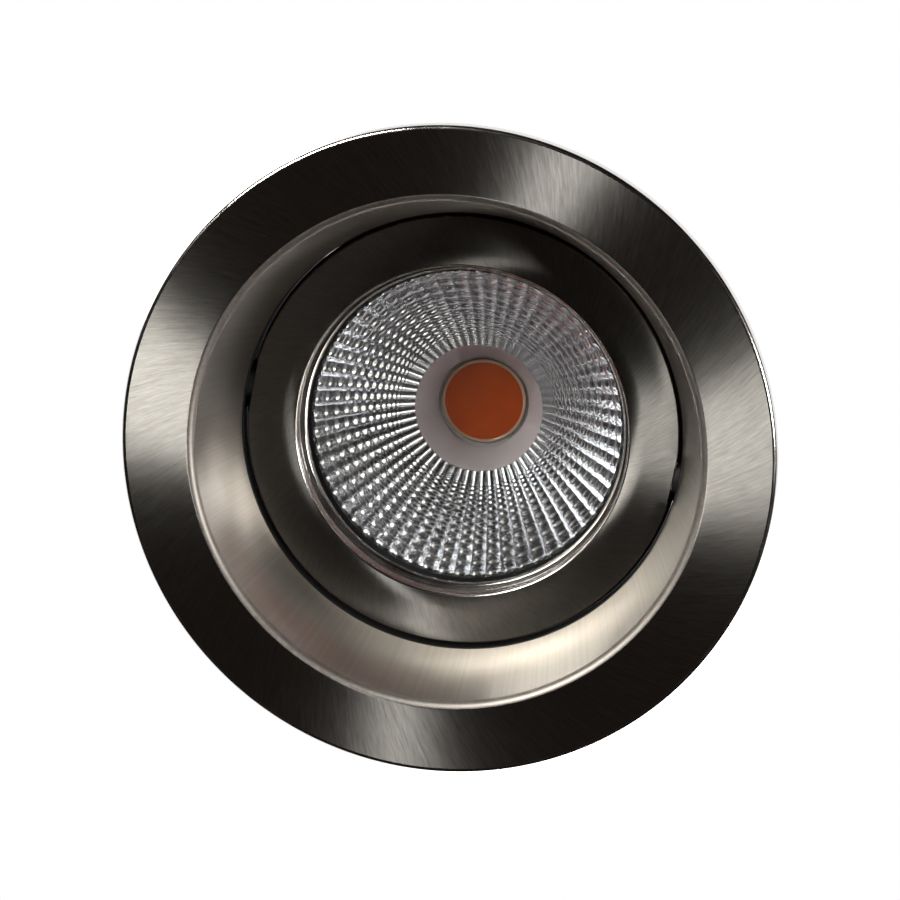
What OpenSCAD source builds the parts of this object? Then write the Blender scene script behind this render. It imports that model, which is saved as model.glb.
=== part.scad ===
// Round recessed soffit downlight with a tilting lamp module.
// +Z points up into the soffit and the light leaves along -Z. The origin is the centre of
// the gasket face that lies against the soffit. X is the tilt axis, and the two spring
// clips stand at +Y (right) and -Y (left).

/* [Trim ring] */
// Outer diameter of the flange
flange_d = 92; // [92:1:100]
// Thickness of the flange
flange_t = 2; // [1.6:0.1:3]
// Rounding of the flange's outer front edge
rim_round = 0.7; // [0.4:0.1:1]
// Width of the flange's face, out from where the recess wall would meet it
face_w = 10.3; // [9.8:0.1:11.5]
// Rounding between the flange face and the recess wall
mouth_round = 1.2; // [0.6:0.1:1.8]
// Depth of the tapered recess wall
recess_depth = 15; // [14:0.5:18]
// How far the recess narrows from its mouth to the lip
recess_in = 3.8; // [3:0.1:4.4]
// Wall thickness of the trim casting
trim_wall = 1.8; // [1.5:0.1:2.2]
// Thickness of the gasket behind the flange
gasket_t = 1; // [0.6:0.1:2]
// How far the flange covers the soffit round its hole
flange_cover = 5; // [4.5:0.1:6]

/* [Tilting ring] */
// Running gap between the tilting ring and the trim lip
swing_gap = 0.5; // [0.4:0.05:0.8]
// Distance of the ring's face behind the lip
ring_drop = 1; // [0.5:0.1:1.5]
// Thickness of the ring's face plate
ring_t = 2.6; // [2:0.1:3.2]
// Width of the ring's face, in from its edge to the light opening
ring_face_w = 7.4; // [7.2:0.1:8]
// Depth of the light opening down to the bezel
well_depth = 3; // [2.8:0.1:3.6]
// Chamfer round the light opening
bore_chamfer = 0.45; // [0.2:0.05:0.7]
// Chamfer on the ring's outer edge
edge_chamfer = 0.3; // [0.15:0.05:0.5]
// Wall thickness of the collar behind the ring
collar_wall = 1.8; // [1.4:0.1:2.2]
// Distance of the tilt axis behind the ring's face
pivot_drop = 2.9; // [2.8:0.1:3.2]
// Diameter of the pivot pins
pivot_d = 2.4; // [2:0.1:2.8]

/* [Lamp optics] */
// Thickness of the bezel in front of the glass
bezel_t = 1; // [0.8:0.1:1.4]
// Width of the bezel
bezel_w = 1.5; // [1.2:0.1:2]
// Thickness of the glass gasket
glass_seal_t = 0.4; // [0.3:0.1:0.8]
// Thickness of the cover glass
glass_t = 1.6; // [1.2:0.1:2.5]
// Width of the reflector's flange round its front rim
reflector_lip = 2.5; // [2:0.1:3]
// Diameter of the reflector at its base
reflector_base_d = 19.3; // [18:0.2:21]
// Depth of the reflector
reflector_h = 12.2; // [10:0.2:14]
// How far the reflector wall bulges beyond a straight cone
reflector_bulge = 0.8; // [0:0.1:1.2]
// Wall thickness of the reflector
reflector_wall = 0.9; // [0.7:0.1:1.1]
// Rows of facets between rim and base
reflector_rows = 12; // [8:1:16]

/* [Light source] */
// Diameter of the glowing disc
phosphor_d = 11.9; // [10:0.1:12.4]
// Side of the square source board
board_w = 19; // [18:0.5:20]
// Thickness of the source board
board_t = 1; // [0.8:0.1:1.6]
// Width of the dam round the glowing disc
dam_w = 0.6; // [0.4:0.05:0.8]
// Depth of the white funnel from the reflector base to the dam
funnel_depth = 5.3; // [4.5:0.1:6.5]
// Thickness of the thermal pad
pad_t = 0.3; // [0.2:0.05:0.5]
// Diameter of the source holder
holder_d = 34; // [33:0.5:36]

/* [Heat sink] */
// Number of fins
fin_n = 20; // [20:20:20]
// Thickness of a fin
fin_t = 1.3; // [1:0.1:1.6]
// Height of the finned part
fin_h = 20; // [16:1:26]
// How far the fins draw in towards their rear end
fin_taper = 2.2; // [1:0.1:4]
// Thickness of the plate that carries the light source
base_t = 4.5; // [3.5:0.5:6]
// Diameter of the solid core
core_d = 20; // [19.6:0.2:20.4]

/* [Rear cap and gland] */
// Outer diameter of the wiring cap
cap_d = 32; // [32:0.5:34]
// Height of the wiring cap
cap_h = 12; // [12:0.5:16]
// Wall thickness of the wiring cap
cap_wall = 1.6; // [1.2:0.1:2]
// Diameter of the cable hole through the gland
cable_d = 6.4; // [5:0.1:6.8]
// Width of the gland across its flats
gland_af = 14; // [14:0.5:16]

/* [Spring clips] */
// Height of the clip axle above the soffit face
axle_z = 24; // [23:0.5:27]
// Distance of the clip axle inside the centring rim
axle_inset = 3.1; // [3:0.1:3.4]
// Diameter of the clip axle
axle_d = 2.6; // [2.2:0.1:2.8]
// Length of the clip arm from its axle
arm_l = 18.4; // [17:0.2:19]
// Angle of the arm below the horizontal at rest
arm_rest = 75; // [72:1:78]
// Thickness of the clip's sheet steel
clip_t = 1; // [0.8:0.1:1.2]
// Inner width between the bracket's ears
ear_gap = 12; // [11:0.2:12.4]
// Diameter of the spring wire
wire_d = 0.9; // [0.7:0.05:1]
// Distance between neighbouring curls of the spring
curl_pitch = 1.4; // [1.4:0.05:1.6]
// Whole curls of the spring
curls = 4; // [2:1:4]

/* [Hidden] */
$fn = 96;
over = 1;              // how far a cutting shape runs past the face it cuts
slip = 0.05;           // clearance round a fixed pin, screw or insert
touch = 0.02;          // air between pieces that are stacked by screws
head_gap = 0.2;        // clearance round a sunk screw head
tip_room = 0.4;        // air past the tip of a screw in a blind hole
socket_share = 0.5;    // hex socket's width as a share of the head's
socket_floor = 0.4;    // height of the socket's floor as a share of the head's

// Trim ring
flange_r = flange_d / 2;
mouth_r = flange_r - face_w;
lip_r = mouth_r - recess_in;
flange_back_z = -gasket_t;
face_z = flange_back_z - flange_t;
lip_z = face_z + recess_depth;
taper = atan(recess_in / recess_depth);
skirt_r = lip_r + trim_wall;
spigot_h = 3;
spigot_z = flange_back_z + spigot_h;
spigot_r = wall_r(flange_back_z) + trim_wall;
cutout_gap = 0.5;
rim_r = flange_r - flange_cover - cutout_gap;
rim_wall = 1.8;
rim_h = 2;
mouth_centre_r = mouth_r + mouth_round * (1 - sin(taper)) / cos(taper);
gasket_margin = 1;
gasket_gap = 0.9;
arc_steps = 8;

// Tilt pivots
ring_r = lip_r - swing_gap;
ring_z = lip_z + ring_drop;
pivot_z = ring_z + pivot_drop;
pivot_r = pivot_d / 2;
pivot_gap = 0.05;
pivot_boss_r = 3.2;
pivot_boss_out = 2.7;
pivot_boss_x = skirt_r + pivot_boss_out;
pivot_shoulder = 0.3;
pivot_thread_r = pivot_r + pivot_shoulder;
ring_boss_under = 0.3;
ring_boss_r = pivot_drop - ring_boss_under;
ring_flat = 0.4;
ring_flat_x = ring_r - ring_flat;
trim_flat = 0.3;
trim_flat_x = lip_r + trim_flat;
spot_r = 3.6;
washer_gap = 0.12;
washer_under = 0.1;
washer_r = pivot_drop - washer_under;
pin_depth = 3;
pivot_head_r = 2.7;
pivot_head_t = 1.8;
skirt_z = pivot_z + spot_r;

// Tilting ring and what it holds
bore_r = ring_r - ring_face_w;
step_z = ring_z + well_depth;
collar_step = 1;
collar_r = bore_r + collar_step;
insert_gap = 0.3;
insert_r = collar_r - insert_gap;
bezel_z = step_z + touch;
glass_seal_z = bezel_z + bezel_t;
glass_seal_in = 0.2;
glass_z = glass_seal_z + glass_seal_t;
rim_z = glass_z + glass_t;
reflector_flange_t = 1;
barrel_z = rim_z + reflector_flange_t + touch;
spigot_grip = 1.6;
collar_z = barrel_z + spigot_grip;
tie_boss_r = 2.1;
tie_boss_gap = 0.3;
tie_relief = 0.2;
tie_r = collar_r + tie_boss_r + tie_boss_gap;
tie_angles = [90, 210, 330];
tie_tap_r = 1.05;
tie_clear_r = 1.4;
tie_head_r = 2.1;
tie_head_t = 1.5;
tie_plate_t = 2.2;
tie_l = 5.4;

// Light source, in the order of the light path backwards
refl_front_r = insert_r - reflector_lip;
refl_base_r = reflector_base_d / 2;
base_z = rim_z + reflector_h;
holder_r = holder_d / 2;
holder_hub_r = 12.5;
holder_hub_h = 4;
dam_z = base_z + funnel_depth;
dam_h = 0.7;
dam_drop = 0.2;
board_z = dam_z + dam_h;
pad_z = board_z + board_t;
seat_z = pad_z + pad_t;
phosphor_r = phosphor_d / 2;
dam_r = phosphor_r + dam_w;
funnel_gap = 0.35;
funnel_r = dam_r + funnel_gap;
funnel_land = 0.3;
board_slack = 0.3;
holder_screw_x = 14;
holder_screw_r = 1.25;
holder_head_r = 2.2;
holder_head_t = 1.6;
holder_screw_l = 7;

// Heat sink
barrel_wall = 1.5;
plate_z = seat_z + base_t;
fin_z = plate_z + fin_h;
tie_plate_r = tie_r + tie_boss_r;
fin_front_r = insert_r;
fin_rear_r = fin_front_r - fin_taper;
rear_plate_t = 2;
rear_plate_out = 0.5;
core_r = core_d / 2;
lead_r = 0.6;
lead_out = 1.9;
lead_ring_r = core_r + lead_out;
lead_angles = [90 - 180 / fin_n, 90 + 180 / fin_n];
lead_hole_r = 1.15;
lead_bury = 1.6;
lead_grip = 2.4;
grommet_flange_t = 0.6;
grommet_flange_r = 1.7;

// Rear cap and gland
cap_r = cap_d / 2;
cap_seal_t = 0.8;
cap_seal_in = 0.6;
cap_z = fin_z + cap_seal_t;
cap_roof_z = cap_z + cap_h;
cap_inner_r = cap_r - cap_wall;
cap_chamfer = 1.2;
cap_screw_in = 4.2;
cap_screw_x = cap_r - cap_screw_in;
cap_column_r = 2.9;
cap_boss_r = 2.2;
cap_boss_h = 8;
cap_screw_r = 1.2;
cap_head_r = 2.1;
cap_head_t = 1.6;
cap_sink = 2.2;
cap_screw_grip = 6;
block_w = 9.6;
block_t = 4.6;
block_h = 5.6;
block_in = 1.4;
block_y = lead_ring_r - block_in;
block_z = fin_z + grommet_flange_t + touch;
block_screw_r = 0.9;
block_screw_l = 2.2;
block_screw_sink = 0.4;
slot_w = 0.4;
slot_h = 0.7;
gland_hex_t = 2.5;
gland_thread_r = 5.4;
gland_below = 4.2;
gland_above = 5;
gland_z = cap_roof_z + gland_hex_t;
locknut_t = 2;
locknut_af = 12.6;
nut_gap = 0.4;
nut_hex_h = 4.8;
nut_dome_h = 3.2;
nut_dome_in = 1.4;
nut_room = 1;
nut_wall_r = gland_af / 2 / cos(30);
nut_shoulder = 0.8;
nut_dome_r = gland_af / 2 - nut_shoulder;
seal_wall = 1.2;
seal_r = gland_thread_r - seal_wall;
seal_down = 3.6;
seal_proud = 0.8;
cable_r = cable_d / 2;
cable_room = 0.3;

// Spring clips, drawn for the right-hand clip and turned round for the left-hand one
axle_y = rim_r - axle_inset;
axle_stand = 0.8;
pad_y = axle_y - axle_stand;
pad_w = ear_gap + 2 * clip_t;
pad_low_z = spigot_z;
pad_over_lip = 0.5;
pad_high_z = lip_z + pad_over_lip;
plate_above = 5;
plate_high_z = pad_high_z + plate_above;
ear_r = 2.4;
screw_up = 2.8;
screw_down = 2.4;
bracket_screw_z = [pad_low_z + screw_up, pad_high_z - screw_down];
bracket_screw_r = 1.05;
bracket_head_r = 2;
bracket_head_t = 1.2;
screw_floor = 0.7;
bracket_screw_l = pad_y - wall_r(bracket_screw_z[0]) - screw_floor;
axle_r = axle_d / 2;
axle_head_out = 0.8;
axle_head_r = axle_r + axle_head_out;
axle_head_t = 0.7;
cheek_gap = 0.25;
cheek_x = ear_gap / 2 - cheek_gap;
cheek_r = ear_r - head_gap;
cheek_l = 7;
window_l = 3.7;
axle_run = 0.06;
sleeve_t = 2.4;
sleeve_l = 8;
sleeve_cap = 1.2;
sleeve_start = arm_l + sleeve_cap - sleeve_l;
sleeve_gap = 0.9;
ear_low_z = axle_z - sleeve_start * sin(arm_rest) + sleeve_t / 2 * cos(arm_rest) + sleeve_gap;
curl_air = 0.6;
curl_r = axle_r + curl_air + wire_d / 2;
curl_spread = 3;
curl_end = 90 - arm_rest + curl_spread;
curl_turn = 180 - curl_end + 360 * curls;
coil_l = curl_pitch * curl_turn / 360;
curl_rings = 8;
wire_sides = 6;
wire_rest = 0.08;
tail_y = pad_y - axle_y - wire_d / 2 - wire_rest;
tail_under = 2.5;
tail_l = axle_z - plate_high_z + tail_under;
tail_up = clip_t / 2 + wire_d / 2 + wire_rest;
tail_start = 3.5;
tail_gap = 1;

function wall_r(z) = mouth_r - (z - face_z) * tan(taper);
function arc(c, r, a0, a1) =
    [for (i = [0:arc_steps]) let (a = a0 + (a1 - a0) * i / arc_steps) c + r * [cos(a), sin(a)]];

module ring_of(r_out, r_in, z0, z1) {
    difference() {
        translate([0, 0, z0]) cylinder(r = r_out, h = z1 - z0);
        translate([0, 0, z0 - over]) cylinder(r = r_in, h = z1 - z0 + 2 * over);
    }
}

// A cylinder along X between two stations, on a line at height z
module x_pin(r, x0, x1, z, y = 0) {
    translate([x0, y, z]) rotate([0, 90, 0]) cylinder(r = r, h = x1 - x0);
}

// A cylinder along Y between two stations
module y_pin(r, y0, y1, x, z) {
    translate([x, y0, z]) rotate([-90, 0, 0]) cylinder(r = r, h = y1 - y0);
}

// The same thing twice, half a turn apart
module both_sides() {
    children();
    rotate([0, 0, 180]) children();
}

// An outline drawn in (y, z), given a thickness along X
module slab_yz(x0, x1) {
    translate([x0, 0, 0]) rotate([90, 0, 90]) linear_extrude(height = x1 - x0) children();
}

// A hex-socket screw whose head rises from z = 0 and whose shank goes down
module socket_screw(head_r, head_t, shank_r, shank_l) {
    difference() {
        union() {
            cylinder(r = head_r, h = head_t);
            translate([0, 0, -shank_l]) cylinder(r = shank_r, h = shank_l);
        }
        translate([0, 0, head_t * socket_floor])
            cylinder(r = head_r * socket_share, h = head_t, $fn = 6);
    }
}

// ---- trim ring, gasket and pivots ----

module trim_outline() {
    polygon(concat(
        [[0, face_z]],
        arc([flange_r - rim_round, face_z + rim_round], rim_round, -90, 0),
        [[flange_r, flange_back_z], [rim_r, flange_back_z], [rim_r, rim_h],
         [rim_r - rim_wall, rim_h], [rim_r - rim_wall, flange_back_z],
         [spigot_r, flange_back_z], [spigot_r, spigot_z],
         [skirt_r, lip_z + trim_wall], [skirt_r, skirt_z], [0, skirt_z]]));
}

module trim_hollow() {
    polygon(concat(
        [[0, face_z - over], [mouth_centre_r, face_z - over]],
        arc([mouth_centre_r, face_z + mouth_round], mouth_round, 270, 180 + taper),
        [[lip_r, lip_z], [lip_r, skirt_z + over], [0, skirt_z + over]]));
}

module trim_ring() color([0.66, 0.64, 0.6]) {
    difference() {
        union() {
            rotate_extrude() trim_outline();
            both_sides() {
                x_pin(pivot_boss_r, lip_r + trim_wall / 2, pivot_boss_x, pivot_z);
                translate([0, 0, pad_low_z]) rotate([0, 0, 90])
                    translate([lip_r + trim_wall / 2, -pad_w / 2, 0])
                        cube([pad_y - lip_r - trim_wall / 2, pad_w, pad_high_z - pad_low_z]);
            }
        }
        rotate_extrude() trim_hollow();
        both_sides() {
            x_pin(pivot_thread_r + slip, lip_r - over, pivot_boss_x + over, pivot_z);
            x_pin(spot_r, lip_r - 2 * over, trim_flat_x, pivot_z);
            translate([lip_r - 2 * over, -spot_r, lip_z - over])
                cube([trim_flat_x - lip_r + 2 * over, 2 * spot_r, pivot_z - lip_z + over]);
            translate([-pad_w / 2 - slip, pad_y, pad_low_z])
                cube([pad_w + 2 * slip, pad_w, pad_high_z]);
            for (z = bracket_screw_z)
                y_pin(bracket_screw_r + slip, pad_y - bracket_screw_l - slip, pad_y + over, 0, z);
        }
    }
}

module soffit_gasket() color([0.1, 0.1, 0.11])
    ring_of(flange_r - gasket_margin, rim_r + gasket_gap, flange_back_z, 0);

module pivot_screws() color([0.7, 0.7, 0.72])
    both_sides() difference() {
        union() {
            x_pin(pivot_head_r, pivot_boss_x, pivot_boss_x + pivot_head_t, pivot_z);
            x_pin(pivot_thread_r, trim_flat_x, pivot_boss_x, pivot_z);
            x_pin(pivot_r, ring_flat_x - pin_depth, trim_flat_x, pivot_z);
        }
        translate([pivot_boss_x + pivot_head_t * socket_floor, 0, pivot_z]) rotate([0, 90, 0])
            cylinder(r = pivot_head_r * socket_share, h = pivot_head_t, $fn = 6);
    }

module pivot_washers() color([0.85, 0.83, 0.75])
    both_sides() difference() {
        x_pin(washer_r, ring_flat_x + washer_gap, trim_flat_x - touch, pivot_z);
        x_pin(pivot_r + slip, ring_flat_x - over, trim_flat_x + over, pivot_z);
    }

// ---- spring clips ----

// Puts a clip piece, drawn at +Y, on the right-hand or the left-hand side
module clip_side(right) {
    if (right) children();
    else rotate([0, 0, 180]) children();
}

module bracket_shape() {
    difference() {
        union() {
            translate([-pad_w / 2, pad_y, pad_low_z])
                cube([pad_w, clip_t, plate_high_z - pad_low_z]);
            for (x0 = [-pad_w / 2, pad_w / 2 - clip_t]) slab_yz(x0, x0 + clip_t) {
                translate([axle_y, axle_z]) circle(r = ear_r);
                translate([pad_y, ear_low_z])
                    square([axle_y + ear_r - pad_y, axle_z - ear_low_z]);
            }
        }
        x_pin(axle_r + slip, -pad_w, pad_w, axle_z, axle_y);
        for (z = bracket_screw_z)
            y_pin(bracket_screw_r + 2 * slip, pad_y - over, pad_y + clip_t + over, 0, z);
    }
}

module clip_bracket_right() color([0.72, 0.73, 0.74]) clip_side(true) bracket_shape();
module clip_bracket_left() color([0.72, 0.73, 0.74]) clip_side(false) bracket_shape();

module bracket_screws() color([0.6, 0.6, 0.62])
    for (right = [true, false]) clip_side(right) for (z = bracket_screw_z)
        translate([0, pad_y + clip_t, z]) rotate([-90, 0, 0])
            socket_screw(bracket_head_r, bracket_head_t, bracket_screw_r,
                         clip_t + bracket_screw_l - slip);

module axle_shape() {
    x_pin(axle_r, -pad_w / 2, pad_w / 2, axle_z, axle_y);
    for (x0 = [-pad_w / 2 - axle_head_t, pad_w / 2])
        x_pin(axle_head_r, x0, x0 + axle_head_t, axle_z, axle_y);
}

module clip_axle_right() color([0.55, 0.56, 0.58]) clip_side(true) axle_shape();
module clip_axle_left() color([0.55, 0.56, 0.58]) clip_side(false) axle_shape();

// Puts a clip arm, drawn along +Y from its axle, at its rest angle
module at_arm_rest() {
    translate([0, axle_y, axle_z]) rotate([-arm_rest, 0, 0]) children();
}

module arm_shape() at_arm_rest() difference() {
    union() {
        translate([-cheek_x, window_l, -clip_t / 2])
            cube([2 * cheek_x, arm_l - window_l, clip_t]);
        for (x0 = [-cheek_x, cheek_x - clip_t]) slab_yz(x0, x0 + clip_t) {
            circle(r = cheek_r);
            translate([0, -cheek_r / 2]) square([cheek_l, cheek_r]);
        }
    }
    x_pin(axle_r + axle_run, -pad_w, pad_w, 0);
}

module clip_arm_right() color([0.78, 0.79, 0.8]) clip_side(true) arm_shape();
module clip_arm_left() color([0.78, 0.79, 0.8]) clip_side(false) arm_shape();

module sleeve_shape() at_arm_rest() {
    sleeve_x = cheek_x + (sleeve_t - clip_t) / 2;
    difference() {
        translate([-sleeve_x, sleeve_start, -sleeve_t / 2]) cube([2 * sleeve_x, sleeve_l, sleeve_t]);
        translate([-cheek_x - slip, sleeve_start - over, -clip_t / 2 - slip])
            cube([2 * (cheek_x + slip), arm_l - sleeve_start + over + slip, clip_t + 2 * slip]);
    }
}

module clip_pad_right() color([0.12, 0.12, 0.13]) clip_side(true) sleeve_shape();
module clip_pad_left() color([0.12, 0.12, 0.13]) clip_side(false) sleeve_shape();

// Route of the spring wire: up behind the bracket's plate, round the axle, out along the
// arm. Each point is [x, y, z] from the axle's centre.
function arm_dir() = [0, cos(arm_rest), -sin(arm_rest)];
function arm_up() = [0, sin(arm_rest), cos(arm_rest)];
function foot_route() =
    [for (y_z = [[tail_y, -tail_l - wire_d], [tail_y, -tail_l], [-curl_r, -2 * wire_d]])
        [-coil_l / 2, y_z[0], y_z[1]]];
function curl_route() =
    [for (i = [0:curl_rings * curls + floor(curl_rings * (curl_turn / 360 - curls))])
        let (a = 180 - i * 360 / curl_rings, x = -coil_l / 2 + curl_pitch * i / curl_rings)
        [x, curl_r * cos(a), curl_r * sin(a)]];
function arm_route() =
    [for (along_up = [[0, curl_r], [1.5 * wire_d, curl_r], [window_l + tail_start, tail_up],
                      [sleeve_start - tail_gap - wire_d, tail_up], [sleeve_start - tail_gap, tail_up]])
        [coil_l / 2, 0, 0] + along_up[0] * arm_dir() + along_up[1] * arm_up()];
spring_route = concat(foot_route(), curl_route(), arm_route());

function unit(v) = v / norm(v);
function heading(p, i) = unit(p[min(i + 1, len(p) - 1)] - p[max(i - 1, 0)]);
function square_to(v, d) = unit(v - (v * d) * d);
function wire_side(p, i) = square_to([1, 0, 0], heading(p, i));
function wire_ring(p, i) = let (d = heading(p, i), s = wire_side(p, i), t = cross(d, s))
    [for (k = [0:wire_sides - 1]) let (a = 360 * k / wire_sides)
        p[i] + wire_d / 2 * (cos(a) * s + sin(a) * t)];
function quad_faces(a, b, n) =
    [for (k = [0:n - 1]) let (m = (k + 1) % n)
        each [[a + k, b + m, a + m], [a + k, b + k, b + m]]];
function cap_faces(a, n, flip) =
    [for (k = [1:n - 2]) flip ? [a, a + k + 1, a + k] : [a, a + k, a + k + 1]];

module wire_along(p) {
    n = wire_sides;
    last = (len(p) - 1) * n;
    polyhedron(
        points = [for (i = [0:len(p) - 1]) each wire_ring(p, i)],
        faces = concat(
            [for (i = [0:len(p) - 2]) each quad_faces(i * n, (i + 1) * n, n)],
            cap_faces(0, n, false), cap_faces(last, n, true)),
        convexity = 10);
}

// The least air between two stretches of the wire that lie about a curl or more apart
wire_gap = min([for (i = [0:len(spring_route) - 1], j = [0:len(spring_route) - 1])
    if (j - i >= curl_rings - 1) norm(spring_route[i] - spring_route[j])]) - wire_d;
echo(spring_wire_gap = wire_gap);

module spring_shape() translate([0, axle_y, axle_z]) wire_along(spring_route);

module clip_spring_right() color([0.5, 0.51, 0.53]) clip_side(true) spring_shape();
module clip_spring_left() color([0.5, 0.51, 0.53]) clip_side(false) spring_shape();

// ---- tilting ring, bezel and glass ----

module gimbal_outline() {
    polygon([[0, ring_z], [ring_r - edge_chamfer, ring_z], [ring_r, ring_z + edge_chamfer],
             [ring_r, ring_z + ring_t], [collar_r + collar_wall, ring_z + ring_t],
             [collar_r + collar_wall, collar_z], [0, collar_z]]);
}

module gimbal_hollow() {
    polygon([[0, ring_z - over], [bore_r + bore_chamfer + over, ring_z - over],
             [bore_r, ring_z + bore_chamfer], [bore_r, step_z], [collar_r, step_z],
             [collar_r, collar_z + over], [0, collar_z + over]]);
}

module gimbal_ring() color([0.64, 0.62, 0.58]) difference() {
    union() {
        rotate_extrude() gimbal_outline();
        both_sides() x_pin(ring_boss_r, collar_r + collar_wall / 2, ring_r - edge_chamfer, pivot_z);
        for (a = tie_angles) rotate([0, 0, a]) translate([tie_r, 0, ring_z + ring_t / 2])
            cylinder(r = tie_boss_r, h = collar_z - tie_relief - ring_z - ring_t / 2);
    }
    rotate_extrude() gimbal_hollow();
    both_sides() {
        x_pin(pivot_r + pivot_gap, ring_flat_x - pin_depth - tip_room, ring_r + over, pivot_z);
        x_pin(spot_r, ring_flat_x, ring_r + over, pivot_z);
    }
    for (a = tie_angles) rotate([0, 0, a])
        translate([tie_r, 0, collar_z - tie_l + tie_plate_t - tip_room])
            cylinder(r = tie_tap_r + slip, h = tie_l);
}

module bezel_ring() color([0.8, 0.79, 0.77]) rotate_extrude()
    polygon([[insert_r - bezel_w + edge_chamfer, bezel_z], [insert_r, bezel_z],
             [insert_r, glass_seal_z], [insert_r - bezel_w, glass_seal_z],
             [insert_r - bezel_w, bezel_z + edge_chamfer]]);

module glass_gasket() color([0.13, 0.13, 0.14])
    ring_of(insert_r, insert_r - bezel_w + glass_seal_in, glass_seal_z, glass_z);

module cover_glass() color([0.75, 0.86, 0.88, 0.4])
    translate([0, 0, glass_z]) cylinder(r = insert_r, h = glass_t);

// ---- reflector and light source ----

// Point t of the reflector's wall, from the rim at 0 to the base at 1
function reflector_point(t, out = 0) = let (
        chord = [refl_base_r - refl_front_r, reflector_h],
        away = [reflector_h, refl_front_r - refl_base_r] / norm(chord))
    [refl_front_r, rim_z] + t * chord + 4 * reflector_bulge * t * (1 - t) * away
    + out * [1, 0];

module reflector() color([0.86, 0.87, 0.9]) {
    rotate_extrude() polygon(concat(
        [for (i = [0:reflector_rows]) reflector_point(i / reflector_rows)],
        [for (i = [reflector_rows:-1:0]) reflector_point(i / reflector_rows, reflector_wall)]));
    ring_of(insert_r, refl_front_r + reflector_wall / 2, rim_z, rim_z + reflector_flange_t);
}

module source_holder() color([0.93, 0.93, 0.92]) difference() {
    union() {
        translate([0, 0, base_z + touch]) cylinder(r = holder_hub_r, h = seat_z - base_z - 2 * touch);
        translate([0, 0, base_z + holder_hub_h])
            cylinder(r = holder_r, h = seat_z - touch - base_z - holder_hub_h);
    }
    translate([0, 0, base_z])
        cylinder(r1 = refl_base_r, r2 = funnel_r, h = funnel_depth - funnel_land);
    translate([0, 0, base_z]) cylinder(r = funnel_r, h = seat_z - base_z + over);
    translate([0, 0, base_z - over + touch]) cylinder(r = refl_base_r, h = over);
    board_pocket = board_w + 2 * board_slack;
    translate([-board_pocket / 2, -board_pocket / 2, board_z - touch])
        cube([board_pocket, board_pocket, board_t + pad_t + over]);
    both_sides() translate([holder_screw_x, 0, base_z - over]) {
        cylinder(r = holder_screw_r + 2 * slip, h = seat_z);
        cylinder(r = holder_head_r + head_gap, h = over + holder_hub_h);
    }
    for (a = lead_angles) rotate([0, 0, a]) translate([lead_ring_r, 0, seat_z - lead_bury])
        cylinder(r = lead_r + slip, h = lead_bury + over);
}

module holder_screws() color([0.62, 0.63, 0.65]) both_sides()
    translate([holder_screw_x, 0, base_z + holder_hub_h]) rotate([180, 0, 0])
        socket_screw(holder_head_r, holder_head_t, holder_screw_r, holder_screw_l);

module source_board() color([0.83, 0.85, 0.84])
    translate([-board_w / 2, -board_w / 2, board_z]) cube([board_w, board_w, board_t]);

module source_dam() color([0.95, 0.94, 0.88])
    ring_of(dam_r, phosphor_r + touch / 2, dam_z, board_z);

module phosphor_disc() color([0.85, 0.45, 0.1])
    translate([0, 0, dam_z + dam_drop]) cylinder(r = phosphor_r, h = dam_h - dam_drop);

module thermal_pad() color([0.35, 0.36, 0.4])
    translate([-board_w / 2, -board_w / 2, pad_z + touch / 2])
        cube([board_w, board_w, pad_t - touch]);

// ---- heat sink ----

module heat_sink() color([0.17, 0.17, 0.18]) difference() {
    union() {
        translate([0, 0, barrel_z]) cylinder(r = insert_r, h = plate_z - barrel_z);
        translate([0, 0, collar_z + touch]) cylinder(r = tie_plate_r, h = tie_plate_t);
        translate([0, 0, plate_z - over]) cylinder(r = core_r, h = fin_h + over);
        translate([0, 0, fin_z - rear_plate_t])
            cylinder(r = cap_r + rear_plate_out, h = rear_plate_t);
        both_sides() translate([cap_screw_x, 0, fin_z - cap_boss_h])
            cylinder(r = cap_boss_r, h = cap_boss_h);
        intersection() {
            union() for (i = [0:fin_n - 1]) rotate([0, 0, 360 * i / fin_n])
                translate([core_r / 2, -fin_t / 2, plate_z - over])
                    cube([fin_front_r, fin_t, fin_h + over]);
            translate([0, 0, plate_z - over])
                cylinder(r1 = fin_front_r, r2 = fin_rear_r, h = fin_h + over);
        }
    }
    translate([0, 0, barrel_z - over])
        cylinder(r = insert_r - barrel_wall, h = seat_z - barrel_z + over);
    for (a = tie_angles) rotate([0, 0, a]) translate([tie_r, 0, collar_z - over])
        cylinder(r = tie_clear_r, h = tie_plate_t + 2 * over);
    both_sides() {
        translate([holder_screw_x, 0, base_z + holder_hub_h])
            cylinder(r = holder_screw_r + slip, h = holder_screw_l + tip_room);
        translate([cap_screw_x, 0, fin_z - cap_screw_grip])
            cylinder(r = cap_screw_r + slip, h = cap_screw_grip + over);
    }
    for (a = lead_angles) rotate([0, 0, a]) translate([lead_ring_r, 0, 0]) {
        translate([0, 0, seat_z - over]) cylinder(r = lead_hole_r, h = base_t + 2 * over);
        translate([0, 0, fin_z - rear_plate_t - over])
            cylinder(r = lead_hole_r, h = rear_plate_t + 2 * over);
    }
}

module heat_sink_screws() color([0.62, 0.63, 0.65])
    for (a = tie_angles) rotate([0, 0, a]) translate([tie_r, 0, collar_z + touch + tie_plate_t])
        socket_screw(tie_head_r, tie_head_t, tie_tap_r, tie_l);

module lead_at(a) rotate([0, 0, a]) translate([lead_ring_r, 0, seat_z - lead_bury + slip])
    cylinder(r = lead_r, h = block_z + lead_bury - seat_z);

module lead_red() color([0.75, 0.08, 0.07]) lead_at(lead_angles[0]);
module lead_black() color([0.08, 0.08, 0.08]) lead_at(lead_angles[1]);

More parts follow.
